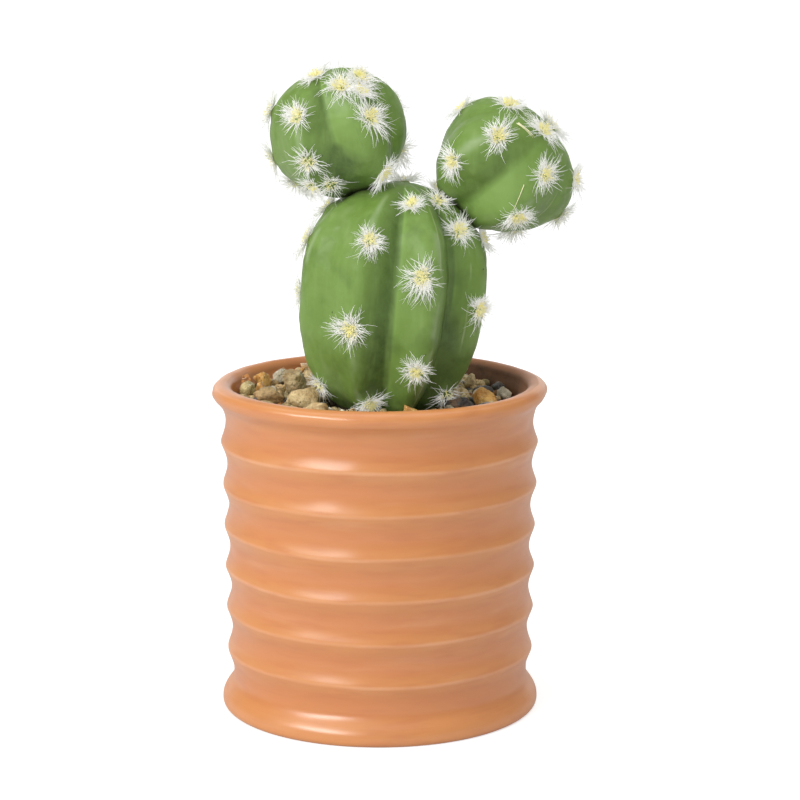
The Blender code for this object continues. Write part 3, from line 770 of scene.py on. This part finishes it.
def stem_surface(form, grid, seed, neighbours, pressed):
    """The form on an even grid, raised in a low bell at each areole and by a faint random relief, and
    pressed in where its neighbours lean on it. Returns its points and faces, and what the skin's material
    reads. The joint is a painted shadow: 1 where the skin meets a neighbour, dying away from there. A pale
    spot is a bell of painted light, kept off the painted shades. The crest is a narrow line beside each rib's
    top, for a painted highlight. Each seam's value is how far past the seam a point lies, from -1 to 1."""
    columns_per_rib, rows = grid
    turns = np.arange(form.count * columns_per_rib) / columns_per_rib
    turns, polars = np.meshgrid(turns, np.linspace(0, math.pi, rows + 2)[1:-1])
    rings = form.points(turns, polars)
    nearest = np.min([np.linalg.norm(rings - root, axis=-1) for root in form.areoles()[0]], axis=0)
    cushion = np.exp(-1.5 * (nearest / CUSHION_RADIUS) ** 2)
    relief = ripples(rings, ((*BROAD_RELIEF, seed), (*FINE_RELIEF, seed + 1)))
    raised = CUSHION_HEIGHT * cushion + limited(np.sin(polars) * RELIEF_FADE) * relief
    rings = rings + form.normals(turns, polars) * raised[..., None]
    # Painted shadow where the skin meets a neighbour.
    joint = np.zeros(rings.shape[:2])
    for body in neighbours:
        rings = body.pressed_clear(rings, SKIN_GAP) if pressed else rings
        joint = np.maximum(joint, np.exp(-np.maximum(body.fullness(rings) - 1, 0) / JOINT_SHADOW_REACH))
    fade = limited(np.sin(polars) * MARKS_FADE)
    azimuth, _, groove = form.section(turns)
    flank, pale = groove_shades(form, turns, polars)
    # Painted light spots, kept off the painted shade.
    for place, polar, radius, strength in form.values["painted_light_spots"]:
        middle = form.at([place], [polar])[0][0]
        distance = np.linalg.norm(rings - middle, axis=-1) / (radius * MM)
        pale = np.maximum(pale, strength * np.exp(-(distance**3)) * (1 - limited(flank * 2)))
    crest = limited(1 - np.abs((turns + 0.5 - RIDGE_LINE_PHASE) % 1 - 0.5) / RIDGE_LINE_WIDTH)
    values = {"groove": groove * fade, "flank": flank * fade, "cushion": cushion, "pale": pale}
    values |= {"crest": crest * fade, "joint": joint}
    for index, seam in enumerate(form.values["seams"]):
        past = (azimuth - math.radians(seam) + math.pi) % TURN - math.pi
        values[f"seam_{index}"] = np.clip(past * form.radius * np.sin(polars) / SEAM_REACH, -1, 1)
    for name, value in values.items():
        values[name] = np.append(value.ravel(), [value[0].mean(), value[-1].mean()])
    poles = form.points(np.zeros(2), np.array([0.0, math.pi]))
    return *round_surface(rings, *poles), values


def skin_material(settings):
    """Waxy green skin: painted shade in the grooves and on one flank of each rib, painted light on pale spots
    and streaks, clouded and faintly streaked from tip to base, with a painted highlight line along the ribs,
    pale raised seams, tiny dark pinholes and a painted shadow where the stems meet."""
    skin = Finish("cactus_skin", Roughness=0.42, Specular_IOR_Level=0.34)
    place, groove = skin.place, skin.value("groove")
    # Painted shade in the grooves and on one flank of each rib, over painted light on pale spots and streaks.
    shade = skin.times(skin.value("flank"), 0.88)
    shade = skin.maths("MAXIMUM", shade, skin.ramp(groove, 0.90, 1.0, 0.0, 0.6))
    body = skin.layered(settings.skin, (skin.value("pale"), PAINTED_LIGHT_SKIN), (shade, settings.painted_groove_shade))
    inputs = {"Vector": place, "Color": body, "Tint": settings.pale_skin}
    mottled = skin.effect("mottle", **inputs, Scale=60.0, Amount=0.5)
    drawn = skin.stretched(place, (420.0, 420.0, 45.0))
    streaks = skin.ramp(skin.noise(drawn, 1.0, 3.0, 0.6), 0.45, 0.70, 0.0, 0.30)
    brushed = skin.ramp(skin.noise(drawn, 0.36, 2.0, 0.5), 0.52, 0.72, 0.0, 0.34)
    # Breaks up the painted highlight line along the ribs.
    worn = skin.ramp(skin.noise(place, 75.0, 2.0), 0.50, 0.60)
    past = [skin.maths("ABSOLUTE", skin.value(name)) for name in ("seam_0", "seam_1")]
    seam = skin.maths("MAXIMUM", *(skin.ramp(distance, 0.03, 0.11, 1.0, 0.0) for distance in past))
    seam = skin.times(seam, skin.ramp(skin.noise(place, 90.0, 2.0), 0.42, 0.60))
    holes = skin.effect("pits", Vector=place, Scale=330.0, Size=0.10, Share=0.16)["Mask"]
    colour = skin.layered(
        mottled["Color"],
        (streaks, settings.pale_skin),
        (skin.times(brushed, skin.ramp(groove, 0.55, 0.10)), WAXY_BLOOM),
        (skin.ramp(skin.noise(place, 110.0, 3.0, 0.6), 0.50, 0.72, 0.0, 0.40), DULL_SKIN),
        # A painted highlight line just past each rib's top.
        (skin.times(skin.value("crest"), worn, 0.55), RIDGE_HIGHLIGHT_SKIN),
        (skin.times(skin.value("cushion"), 0.35), CUSHION_FELT),
        (skin.times(seam, 0.5), SEAM_SKIN),
        # A painted shadow where the stems meet.
        (skin.times(skin.value("joint"), 0.9), JOINT_SHADOW_TINT),
        (skin.times(holes, 0.8), PINHOLE_DARK),
    )
    rough = skin.ramp(skin.noise(place, 300.0, 3.0), 0.3, 0.7, 0.36, 0.48)
    grain = skin.effect("grain", Vector=place, Scale=1000.0, Coarse=1.0)["Height"]
    height = skin.plus(skin.plus(grain, skin.times(holes, -1.6)), skin.times(seam, 1.5))
    return skin.set(Base_Color=colour, Roughness=rough, Normal=skin.relief(height, 0.06 * MM))


# ---- Spine tufts ----

FIBRE_SEGMENTS = 3
FIBRE_POINTS = 3 * (FIBRE_SEGMENTS + 1)
TAPER = 0.72
# Size, number of waves and phase of a fibre's wobble, from the least to the most.
WOBBLES = ((0.01, 0.06), (0.5, 1.3), (0, 6.3))
ROOT_HEIGHT = 0.5 * MM
TUFT_SIZES = (0.86, 1.12)

# Rays grow in clumps, from the shortest to the longest as a share of the ray length, and from the lowest to
# the highest in radians off the skin. Short clumps are lifted more. A ray across the comb has the least
# share of its clump's length. Lying along the comb adds to that, and so does hanging.
CLUMPS = 30
CLUMP_LENGTHS, CLUMP_LIFTS = (0.48, 1.10), (0.05, 0.60)
SHORT_LIFT = 0.40
COMB_SCATTER = 0.6
LEAST_COMBED, COMBED, HANGING = 0.86, 0.30, 0.12
FIBRE_LENGTHS, LONGEST_RAY = (0.66, 1.15), 1.08
ANGLE_SCATTER, LIFT_SCATTER, FOOT_SCATTER = 0.20, 0.16, 0.5
SIDEWAYS_BEND, BEND_SCATTER = 0.30, 0.10

# From the least to the most for each kind of fibre: ray, crown and core. A ray's lift and length come from
# its clump instead. Spreads are in mm, and the settle is how far the fibre's end sags along the normal.
LIFT_SPANS = ((0, 1), (0.25, 1.2), (0.7, 1.5))
SPREAD_SPANS = ((0.9, 2.2), (0.9, 2.5), (0.0, 1.7))
LENGTH_SPANS = ((0, 1), (0.22, 0.50), (0.22, 0.38))
RADIUS_SPANS = ((0.60, 1.0), (0.60, 1.0), (1.3, 1.9))
YELLOW_SPANS = ((0.0, 0.05), (0.0, 0.25), (0.55, 0.95))
SETTLES = (-0.12, 0.0, -0.2)

THREAD_ROOT_HEIGHT, THREAD_SCATTER = 0.35 * MM, 0.12 * MM
THREAD_ARC, THREAD_SPLAY = 0.28, 0.03
THREAD_LENGTHS, THREAD_RADII, THREAD_YELLOWS = (0.8, 1.05), (0.9, 1.3), (0.55, 0.85)
THREAD_WOBBLE = (0.02, 0.6, 0.0)

FIBRE_FOOT, FIBRE_SHADE = (0.80, 0.84, 0.72), (0.72, 0.71, 0.70)


def fibre_surfaces(roots, directions, bends, lengths, radii, wobbles):
    """Closed three-sided strands. Each follows root + length (direction t + bend t squared) with a small
    sine wobble across it, and narrows towards its tip. Arrays run over the fibres, and a wobble is its size,
    its number of waves and its phase. Returns points, faces and how far along its fibre each point is."""
    t = np.linspace(0, 1, FIBRE_SEGMENTS + 1)[None, :, None]
    side = unit(np.cross(directions, np.roll(directions, 1, axis=1) + 0.3))
    other = np.cross(directions, side)
    size, waves, phase = np.moveaxis(wobbles[:, None, :, None], 2, 0)
    sway = size * (np.sin(t * TURN * waves + phase) - np.sin(phase))
    path = directions[:, None] * t + bends[:, None] * t**2 + sway * side[:, None]
    path = roots[:, None] + lengths[:, None, None] * path
    angles = round_angles(3)[None, :, None]
    ring = np.cos(angles) * side[:, None] + np.sin(angles) * other[:, None]
    taper = (1 - TAPER * t**1.5)[..., None] * radii[:, None, None, None]
    points = (path[:, :, None] + ring[:, None] * taper).reshape(-1, 3)
    low = np.arange(FIBRE_SEGMENTS)[:, None] * 3 + np.arange(3)
    low_next = np.arange(FIBRE_SEGMENTS)[:, None] * 3 + (np.arange(3) + 1) % 3
    quads = np.stack([low, low_next, low_next + 3, low + 3], axis=-1).reshape(-1, 4)
    caps = np.array([[2, 1, 0], [FIBRE_POINTS - 3, FIBRE_POINTS - 2, FIBRE_POINTS - 1]])
    shift = (np.arange(len(roots)) * FIBRE_POINTS)[:, None, None]
    along = np.tile(np.repeat(t.ravel(), 3), len(roots))
    return points, [(quads + shift).reshape(-1, 4), (caps + shift).reshape(-1, 3)], along


def tuft_fibres(root, normal, chance, settings, size, share):
    """Fibres of one tuft: rays in loose clumps that lie out over the skin and sag a little, a short upright
    crown, and a yellow core. Each fibre's direction is its way out over the skin, lifted by an angle. Rays
    are longer along the comb, a direction near upright, and where they hang. A tuft with a smaller share has
    fewer fibres. Returns arrays of roots, directions, bends, lengths, radii, wobbles and yellowness."""
    tangent = unit(np.cross(normal, chance.normal(size=3)))
    cotangent = np.cross(normal, tangent)
    counts = np.array([settings.rays * share, settings.crown * share, settings.core * share**2])
    kind = np.repeat([0, 1, 2], counts.astype(int))
    rays, total = kind == 0, int(counts.astype(int).sum())

    def spans(limits):
        """A random number for each fibre, between the limits of its kind: ray, crown or core."""
        return np.choose(kind, [chance.uniform(low, high, total) for low, high in limits])

    def outward(angles):
        return np.cos(angles)[:, None] * tangent + np.sin(angles)[:, None] * cotangent

    clump = chance.integers(0, CLUMPS, total)
    clump_angle = chance.uniform(0, TURN, CLUMPS)[clump]
    clump_length = chance.uniform(*CLUMP_LENGTHS, CLUMPS)
    clump_lift = chance.uniform(*CLUMP_LIFTS, CLUMPS) + SHORT_LIFT * (CLUMP_LENGTHS[1] - clump_length)
    ray_angle = clump_angle + chance.normal(0, ANGLE_SCATTER, total)
    angle = np.where(rays, ray_angle, chance.uniform(0, TURN, total))
    lift = np.where(rays, clump_lift[clump] + chance.normal(0, LIFT_SCATTER, total), spans(LIFT_SPANS))
    out = outward(angle)
    directions = unit(np.cos(lift)[:, None] * out + np.sin(lift)[:, None] * normal)
    spread = spans(SPREAD_SPANS)[:, None] * size * MM
    foot = outward(angle + np.where(rays, chance.normal(0, FOOT_SCATTER, total), 0))
    roots = root + normal * ROOT_HEIGHT + foot * spread
    upright = np.array([0.0, 0.0, 1.0]) - normal * normal[2]
    comb = unit(upright + COMB_SCATTER * chance.normal(size=3))
    combed = LEAST_COMBED + COMBED * (out @ comb) ** 2 - HANGING * out @ unit(upright)
    base = np.where(rays, clump_length[clump] * combed, spans(LENGTH_SPANS))
    shares = np.minimum(base * chance.uniform(*FIBRE_LENGTHS, total), LONGEST_RAY)
    lengths = shares * settings.ray_length * size
    sideways = np.cross(normal, out) * chance.normal(0, SIDEWAYS_BEND, total)[:, None]
    bends = np.choose(kind, SETTLES)[:, None] * normal + sideways
    bends += BEND_SCATTER * chance.normal(size=(total, 3))
    radii = settings.fibre_radius * spans(RADIUS_SPANS)
    wobbles = np.stack([chance.uniform(low, high, total) for low, high in WOBBLES], axis=1)
    return roots, directions, bends, lengths, radii, wobbles, spans(YELLOW_SPANS)


def thread_fibres(form, ends, strands, chance, settings):
    """Strands of a dry yellow thread that has come loose and lies in a low arc over the skin between two
    places, in the same arrays as a tuft's."""
    points, normals = form.at(*np.array(ends, dtype=float).T)
    lifted = THREAD_ARC * normals.mean(axis=0)
    roots = points[0] + normals[0] * THREAD_ROOT_HEIGHT + THREAD_SCATTER * chance.normal(size=(strands, 3))
    directions = unit(points[1] - points[0]) + lifted + THREAD_SPLAY * chance.normal(size=(strands, 3))
    lengths = np.linalg.norm(points[1] - points[0]) * chance.uniform(*THREAD_LENGTHS, strands)
    radii = settings.fibre_radius * chance.uniform(*THREAD_RADII, strands)
    wobbles = np.full((strands, 3), THREAD_WOBBLE)
    wobbles[:, 2] = chance.uniform(*WOBBLES[2], strands)
    bends = np.repeat(-lifted[None], strands, axis=0)
    return roots, directions, bends, lengths, radii, wobbles, chance.uniform(*THREAD_YELLOWS, strands)


def tufts_of(form, settings, seed):
    """All tufts of one stem as one set of fibres, with how far along and how yellow each point is."""
    chance = np.random.default_rng(seed)
    thin = dict(form.values["thin_tufts"])
    shares = [thin.get(azimuth, 1.0) for azimuth, _ in form.values["areoles"]]
    sets = [
        tuft_fibres(root, normal, chance, settings, chance.uniform(*TUFT_SIZES) * (3 + share) / 4, share)
        for root, normal, share in zip(*form.areoles(), shares)
    ]
    threads = form.values["threads"]
    sets += [thread_fibres(form, ends, strands, chance, settings) for *ends, strands in threads]
    *fibres, yellow = [np.concatenate(column) for column in zip(*sets)]
    return *fibre_surfaces(*fibres), np.repeat(yellow, FIBRE_POINTS)


def fibre_material(settings):
    """Matt spun fibre, from white to the yellow of the core. It glows faintly in its own colour: painted
    light that stands in for light passing through the thin fibres.
    """
    fibre = Finish("spine_fibre", Roughness=0.65, Specular_IOR_Level=0.3, Emission_Strength=0.20)
    colour = fibre.layered(
        settings.white,
        (fibre.times(fibre.value("yellow"), 0.92), settings.yellow),
        (fibre.times(fibre.maths("SUBTRACT", 1.0, fibre.value("along")), 0.15), FIBRE_FOOT),
        (fibre.ramp(fibre.noise(fibre.place, 900.0, 2.0), 0.35, 0.65, 0.0, 0.40), FIBRE_SHADE),
    )
    return fibre.set(Base_Color=colour, Emission_Color=colour)


# ---- Gravel ----

PEBBLE_GRID = (40, 58)
GRIT_GRID = (5, 8)
GRIT_FLATS, GRIT_EDGE = 7, 7.0
GRIT_RING = (15.0 * MM, 37.2 * MM)
GRIT_SIZES, GRIT_HEIGHTS = (0.8, 1.9), (0.1, 0.9)
GRIT_SHAPES = ((0.65, 0.95), (0.5, 0.8))
GRIT_CLEARANCE = 1.12
STONE_RELIEFS = ((0.040, 0.75), (0.020, 0.34))
FLAT_SCATTER, FLAT_DISTANCES = 0.25, (0.78, 1.0)

# A rusty stain, and the colour of pale specks of painted glint.
RUSTY_STAIN, PAINTED_GLINT = (0.46, 0.23, 0.07), (0.90, 0.84, 0.70)


def stone_surface(centre, axes, half_sizes, chance, grid, flats, edge):
    """A worn stone. In each direction its reach is a smooth minimum over random flats: the p-norm of how
    squarely the direction meets each flat over the flat's own distance. Then faint relief, stretched to the
    stone's half sizes and turned to its axes."""
    rows, columns = grid
    polar = np.linspace(0, math.pi, rows + 2)[1:-1][:, None]
    ring = spun(np.sin(polar), round_angles(columns), np.cos(polar))
    directions = np.concatenate([ring.reshape(-1, 3), [[0, 0, 1.0], [0, 0, -1.0]]])
    facing = unit(chance.normal(size=(flats, 3)))
    facing = unit(np.concatenate([facing, -facing + FLAT_SCATTER * chance.normal(size=(flats, 3))]))
    squarely = np.maximum(directions @ facing.T, 0) / chance.uniform(*FLAT_DISTANCES, len(facing))
    shape = directions * (squarely**edge).sum(axis=1, keepdims=True) ** (-1 / edge)
    reliefs = [(*relief, int(chance.integers(1 << 30))) for relief in STONE_RELIEFS]
    shape *= 1 + ripples(shape, reliefs)[:, None]
    shape -= (shape.max(axis=0) + shape.min(axis=0)) / 2
    shape /= shape.max(axis=0)
    points = centre + (shape * half_sizes) @ axes
    return round_surface(points[:-2].reshape(rows, columns, 3), *points[-2:])


def node_axes(node):
    """Centre, axes as rows and half sizes of a CAD stone, from the spread of its points."""
    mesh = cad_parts[node].data
    flat = np.empty(len(mesh.vertices) * 3, dtype=np.float32)
    mesh.vertices.foreach_get("co", flat)
    points = flat.reshape(-1, 3).astype(float)
    centre = (points.min(axis=0) + points.max(axis=0)) / 2
    _, _, axes = np.linalg.svd(points - points.mean(axis=0), full_matrices=False)
    axes[2] *= np.sign(np.linalg.det(axes))
    spans = (points - centre) @ axes.T
    return centre, axes, (spans.max(axis=0) - spans.min(axis=0)) / 2


def gravel_material(kind):
    """Worn stone of one kind: two tones in soft patches and bands, specks, pits and a thin wet coat, with a
    painted shade that darkens each stone towards its bottom, and pale specks of painted glint.
    """
    light, dark, rough, coat = GRAVEL_KINDS[kind]
    stone = Finish("gravel_" + kind, Roughness=rough, Coat_Weight=coat, Coat_Roughness=0.12)
    tone = stone.value("tone")
    place = stone.add("ShaderNodeVectorMath", {0: stone.place, 1: stone.times(tone, 3.0)}, operation="ADD")[0]
    mottled = stone.effect("mottle", Vector=place, Color=light, Tint=dark, Scale=380.0, Amount=1.0)
    inputs = {"Vector": place, "Scale": 130.0, "Distortion": 9.0, "Detail": 3.0}
    bands = stone.add("ShaderNodeTexWave", inputs)
    stain = stone.ramp(stone.noise(place, 240.0, 3.0, 0.6), 0.52, 0.70, 0.0, 0.45)
    band = stone.ramp(bands["Fac"], 0.72, 0.98, 0.0, 0.35)
    colour = stone.layered(mottled["Color"], (band, light), (stain, RUSTY_STAIN))
    # Painted shade: each stone darker towards its bottom.
    foot = stone.ramp(stone.value("lift"), 0.05, 0.55, 0.50, 1.0)
    patch = stone.ramp(stone.noise(place, 150.0, 2.0, 0.5), 0.46, 0.60, 1.0, 0.82)
    bright = stone.times(stone.ramp(tone, 0.0, 1.0, 0.98, 1.30), foot, patch)
    colour = stone.add("ShaderNodeHueSaturation", {"Value": bright, "Color": colour})[0]
    specks = stone.effect("pits", Vector=place, Scale=1300.0, Size=0.34, Share=0.30)["Mask"]
    # Pale specks of painted glint.
    painted_glints = stone.effect("pits", Vector=place, Scale=900.0, Size=0.34, Share=0.10)["Mask"]
    colour = stone.layered(colour, (stone.times(specks, 0.75), dark), (stone.times(painted_glints, 0.7), PAINTED_GLINT))
    grain = stone.effect("grain", Vector=place, Scale=1400.0, Coarse=1.0)["Height"]
    height = stone.plus(grain, stone.times(specks, -0.8))
    return stone.set(Base_Color=colour, Normal=stone.relief(height, 0.7 * MM))


def stone_pieces(prefix, surfaces, kinds, tones):
    """One object for each kind of stone, which keeps each stone's tone and how high up its stone each point
    is. Gives the kind, the object and which stones are in it."""
    for kind in GRAVEL_KINDS:
        picked = [index for index, own in enumerate(kinds) if own == kind]
        if picked:
            points, faces = joined([surfaces[index] for index in picked])
            rises = [surfaces[index][0][:, 2] - surfaces[index][0][:, 2].min() for index in picked]
            lift = np.concatenate([rise / rise.max() for rise in rises])
            tone = np.repeat(tones[picked], [len(rise) for rise in rises])
            yield kind, make_object(prefix + kind, points, faces, tone=tone, lift=lift), picked


def bed_kinds(chance, count):
    return [BED_KINDS[pick] for pick in chance.integers(0, len(BED_KINDS), count)]


# ---- Stage ----

AIM = Vector((5.5, 0.0, 83.8)) * MM
LIGHT_AIM = Vector((4.0, 0.0, 100.0)) * MM
FLOOR_RADII = np.array([0.1, 0.4, 1.2, 3.6, 9.0])
WHITE = (1.0, 1.0, 1.0)
LIGHTS = {
    "key": {"azimuth_deg": -46, "elevation_deg": 29, "distance": 1.1, "size": (0.72, 0.22)},
    "top": {"azimuth_deg": 20, "elevation_deg": 82, "distance": 1.3, "size": (1.2, 1.2)},
}


def floor_surface():
    """A flat disc: rings that widen from the centre, all at the height of the pot's underside."""
    angles, radii = round_angles(96), FLOOR_RADII[:, None]
    points, faces = round_surface(spun(radii, angles, 0.0), np.zeros(3), np.zeros(3))
    return points[:-1], faces[:2]


def paper_material(settings):
    """White paper, lit a little from behind as the camera and mirrors see it, so that it stays white to its
    far edge."""
    paper = Finish("studio_paper", Roughness=0.9, Specular_IOR_Level=0.1, Emission_Color=WHITE)
    path = paper.add("ShaderNodeLightPath", {})
    seen = paper.maths("MAXIMUM", path["Is Camera Ray"], paper.times(path["Is Glossy Ray"], 0.2))
    return paper.set(Base_Color=settings.floor, Emission_Strength=paper.times(seen, settings.glow))


def room_world(settings):
    """A bright even room. Reflections see a darker ceiling, and a bright backdrop behind the object."""
    world = bpy.data.worlds.new("studio_room")
    world.use_nodes = True
    room = Nodes(world.node_tree)
    path = room.add("ShaderNodeLightPath", {})
    direction = room.add("ShaderNodeTexCoord", {})["Generated"]
    split = room.add("ShaderNodeSeparateXYZ", {"Vector": direction})
    mirrored = room.ramp(split["Z"], 0.02, 0.40, settings.wall, settings.ceiling)
    backdrop = room.times(room.ramp(split["Y"], 0.70, 0.95), room.ramp(split["Z"], 0.60, 0.30))
    mirrored = room.between(backdrop, mirrored, settings.backdrop)
    strength = room.between(path["Is Glossy Ray"], settings.fill, mirrored)
    strength = room.between(path["Is Camera Ray"], strength, 1.0)
    room.feed(room.tree.nodes["Background"], {"Color": WHITE, "Strength": strength})
    return world


def add_area_light(name, azimuth_deg, elevation_deg, distance, size, power):
    """A soft light, wide and high by its size, that faces the plant. Azimuth runs from the front to +X."""
    light = bpy.data.lights.new(name, "AREA")
    light.shape = "RECTANGLE"
    light.size, light.size_y = size
    light.energy = power
    lamp = bpy.data.objects.new(name, light)
    azimuth, elevation = math.radians(azimuth_deg), math.radians(elevation_deg)
    towards = Vector((math.sin(azimuth), -math.cos(azimuth), 0.0)) * math.cos(elevation)
    towards.z = math.sin(elevation)
    lamp.location = LIGHT_AIM + towards * distance
    lamp.rotation_euler = towards.to_track_quat("Z", "Y").to_euler()
    bpy.context.scene.collection.objects.link(lamp)


# ---- Operators ----


def place_piece(thing, material, nodes=()):
    """Gives a piece its material, its body and the CAD nodes it stands for."""
    thing.data.materials.append(material)
    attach(thing, "root")
    if nodes:
        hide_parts(*nodes)


class CACTUS_OT_turn_pot(bpy.types.Operator):
    """Turns the ringed pot and glazes it"""

    bl_idname = "cactus.turn_pot"
    bl_label = "Turn pot"

    def execute(self, context):
        settings = context.scene.cactus_pot
        rings, *glaze = pot_surface(settings)
        points, faces = round_surface(rings, (0.0, 0.0, FLOOR_THICKNESS), (0.0, 0.0, 0.0))
        # The glaze thickness and the painted shadow on the inner wall, with values for the two poles.
        hollow, inside = (np.append(value.ravel(), [INNER_GLAZE, INNER_GLAZE]) for value in glaze)
        pot = make_object("pot_glazed", points, faces, hollow=hollow, inside=inside)
        place_piece(pot, terracotta_material(settings), ["pot"])
        return {"FINISHED"}


class CACTUS_OT_fill_pot(bpy.types.Operator):
    """Fills the pot with crumbly potting mix"""

    bl_idname = "cactus.fill_pot"
    bl_label = "Fill pot"

    def execute(self, context):
        mix = make_object("potting_mix_crumbly", *mix_surface())
        place_piece(mix, soil_material(), ["potting_mix"])
        return {"FINISHED"}


class CACTUS_OT_grow_stems(bpy.types.Operator):
    """Grows the main stem and its two offsets"""

    bl_idname = "cactus.grow_stems"
    bl_label = "Grow stems"

    def execute(self, context):
        skin = skin_material(context.scene.cactus_stem)
        main, left, right = (StemForm(values) for values in (MAIN_STEM, LEFT_OFFSET, RIGHT_OFFSET))
        grown = {
            "main_stem": stem_surface(main, MAIN_GRID, 41, neighbours=(left, right), pressed=True),
            "left_offset": stem_surface(left, OFFSET_GRID, 51, neighbours=(main,), pressed=False),
            "right_offset": stem_surface(right, OFFSET_GRID, 61, neighbours=(main,), pressed=False),
        }
        for node, (points, faces, values) in grown.items():
            place_piece(make_object(node + "_skin", points, faces, **values), skin, [node])
        return {"FINISHED"}


class CACTUS_OT_plant_tufts(bpy.types.Operator):
    """Plants a tuft of fibres on every areole"""

    bl_idname = "cactus.plant_tufts"
    bl_label = "Plant tufts"

    def execute(self, context):
        settings = context.scene.cactus_tuft
        fibre = fibre_material(settings)
        seeds = {"main_stem": 71, "left_offset": 72, "right_offset": 73}
        for (node, seed), values in zip(seeds.items(), (MAIN_STEM, LEFT_OFFSET, RIGHT_OFFSET)):
            points, faces, along, yellow = tufts_of(StemForm(values), settings, seed)
            place_piece(make_object(node + "_tufts", points, faces, along=along, yellow=yellow), fibre)
        return {"FINISHED"}


class CACTUS_OT_lay_pebbles(bpy.types.Operator):
    """Lays a worn stone in the place of every pebble"""

    bl_idname = "cactus.lay_pebbles"
    bl_label = "Lay pebbles"

    def execute(self, context):
        settings = context.scene.cactus_gravel
        chance = np.random.default_rng(81)
        nodes = sorted(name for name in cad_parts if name.startswith("pebble_"))
        wear = (chance, PEBBLE_GRID, settings.flats, settings.edge)
        surfaces = [stone_surface(*node_axes(node), *wear) for node in nodes]
        kinds = [*LARGE_STONE_KINDS, *bed_kinds(chance, len(nodes) - len(LARGE_STONE_KINDS))]
        tones = chance.uniform(0, 1, len(nodes))
        for kind, stones, picked in stone_pieces("pebbles_", surfaces, kinds, tones):
            place_piece(stones, gravel_material(kind), [nodes[index] for index in picked])
        return {"FINISHED"}


class CACTUS_OT_sprinkle_grit(bpy.types.Operator):
    """Sprinkles small stones between the pebbles"""

    bl_idname = "cactus.sprinkle_grit"
    bl_label = "Sprinkle grit"

    def execute(self, context):
        count = context.scene.cactus_gravel.grit
        chance = np.random.default_rng(91)
        radius = np.sqrt(chance.uniform(GRIT_RING[0] ** 2, GRIT_RING[1] ** 2, count))
        places = on_mix(radius, chance.uniform(0, TURN, count))
        size = chance.uniform(*GRIT_SIZES, count) * MM
        places[:, 2] += size * chance.uniform(*GRIT_HEIGHTS, count)
        clear = StemForm(MAIN_STEM).fullness(places) > GRIT_CLEARANCE
        surfaces = []
        for place, half in zip(places[clear], size[clear]):
            axes = np.linalg.qr(chance.normal(size=(3, 3)))[0]
            axes *= np.linalg.det(axes)
            halves = half * np.array([1.0, *(chance.uniform(low, high) for low, high in GRIT_SHAPES)])
            surfaces.append(stone_surface(place, axes, halves, chance, GRIT_GRID, GRIT_FLATS, GRIT_EDGE))
        kinds = bed_kinds(chance, len(surfaces))
        tones = chance.uniform(0, 1, len(surfaces))
        for kind, grit, _ in stone_pieces("grit_", surfaces, kinds, tones):
            place_piece(grit, bpy.data.materials["gravel_" + kind])
        return {"FINISHED"}


class CACTUS_OT_set_stage(bpy.types.Operator):
    """Sets the floor, the lights and the camera"""

    bl_idname = "cactus.set_stage"
    bl_label = "Set stage"

    def execute(self, context):
        settings = context.scene.cactus_stage
        floor = make_object("studio_floor", *floor_surface())
        floor.data.materials.append(paper_material(settings))
        context.scene.world = room_world(settings)
        for name, light in LIGHTS.items():
            add_area_light(name, power=getattr(settings, name), **light)
        camera = bpy.data.cameras.new("camera")
        camera.sensor_width = 36.0
        camera.lens = settings.lens
        view = bpy.data.objects.new("camera", camera)
        context.scene.collection.objects.link(view)
        forward = Vector((0.0, math.cos(settings.elevation), -math.sin(settings.elevation)))
        view.location = AIM - forward * settings.distance
        view.rotation_euler = (math.pi / 2 - settings.elevation, 0.0, 0.0)
        context.scene.camera = view
        context.scene.view_settings.view_transform = "Standard"
        return {"FINISHED"}


class CACTUS_PT_panel(bpy.types.Panel):
    """Lists the steps that build the cactus, with their settings"""

    bl_idname = "CACTUS_PT_panel"
    bl_label = "Potted cactus"
    bl_space_type = "VIEW_3D"
    bl_region_type = "UI"
    bl_category = "Cactus"

    def draw(self, context):
        for step in STEPS:
            self.layout.operator(step.bl_idname)
        for group in SETTINGS:
            box = self.layout.box()
            for label in SETTINGS[group].__annotations__:
                box.prop(getattr(context.scene, group), label)


STEPS = (
    CACTUS_OT_turn_pot,
    CACTUS_OT_fill_pot,
    CACTUS_OT_grow_stems,
    CACTUS_OT_plant_tufts,
    CACTUS_OT_lay_pebbles,
    CACTUS_OT_sprinkle_grit,
    CACTUS_OT_set_stage,
)
SETTINGS = {
    "cactus_pot": PotSettings,
    "cactus_stem": StemSettings,
    "cactus_tuft": TuftSettings,
    "cactus_gravel": GravelSettings,
    "cactus_stage": StageSettings,
}


def register():
    for group, kind in SETTINGS.items():
        bpy.utils.register_class(kind)
        setattr(bpy.types.Scene, group, bpy.props.PointerProperty(type=kind))
    for step in (*STEPS, CACTUS_PT_panel):
        bpy.utils.register_class(step)


def unregister():
    for step in reversed((*STEPS, CACTUS_PT_panel)):
        bpy.utils.unregister_class(step)
    for group, kind in SETTINGS.items():
        delattr(bpy.types.Scene, group)
        bpy.utils.unregister_class(kind)


def main():
    register()
    bpy.ops.cactus.turn_pot()
    bpy.ops.cactus.fill_pot()
    bpy.ops.cactus.grow_stems()
    bpy.ops.cactus.plant_tufts()
    bpy.ops.cactus.lay_pebbles()
    bpy.ops.cactus.sprinkle_grit()
    bpy.ops.cactus.set_stage()
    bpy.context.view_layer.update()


if __name__ == "__main__":
    main()
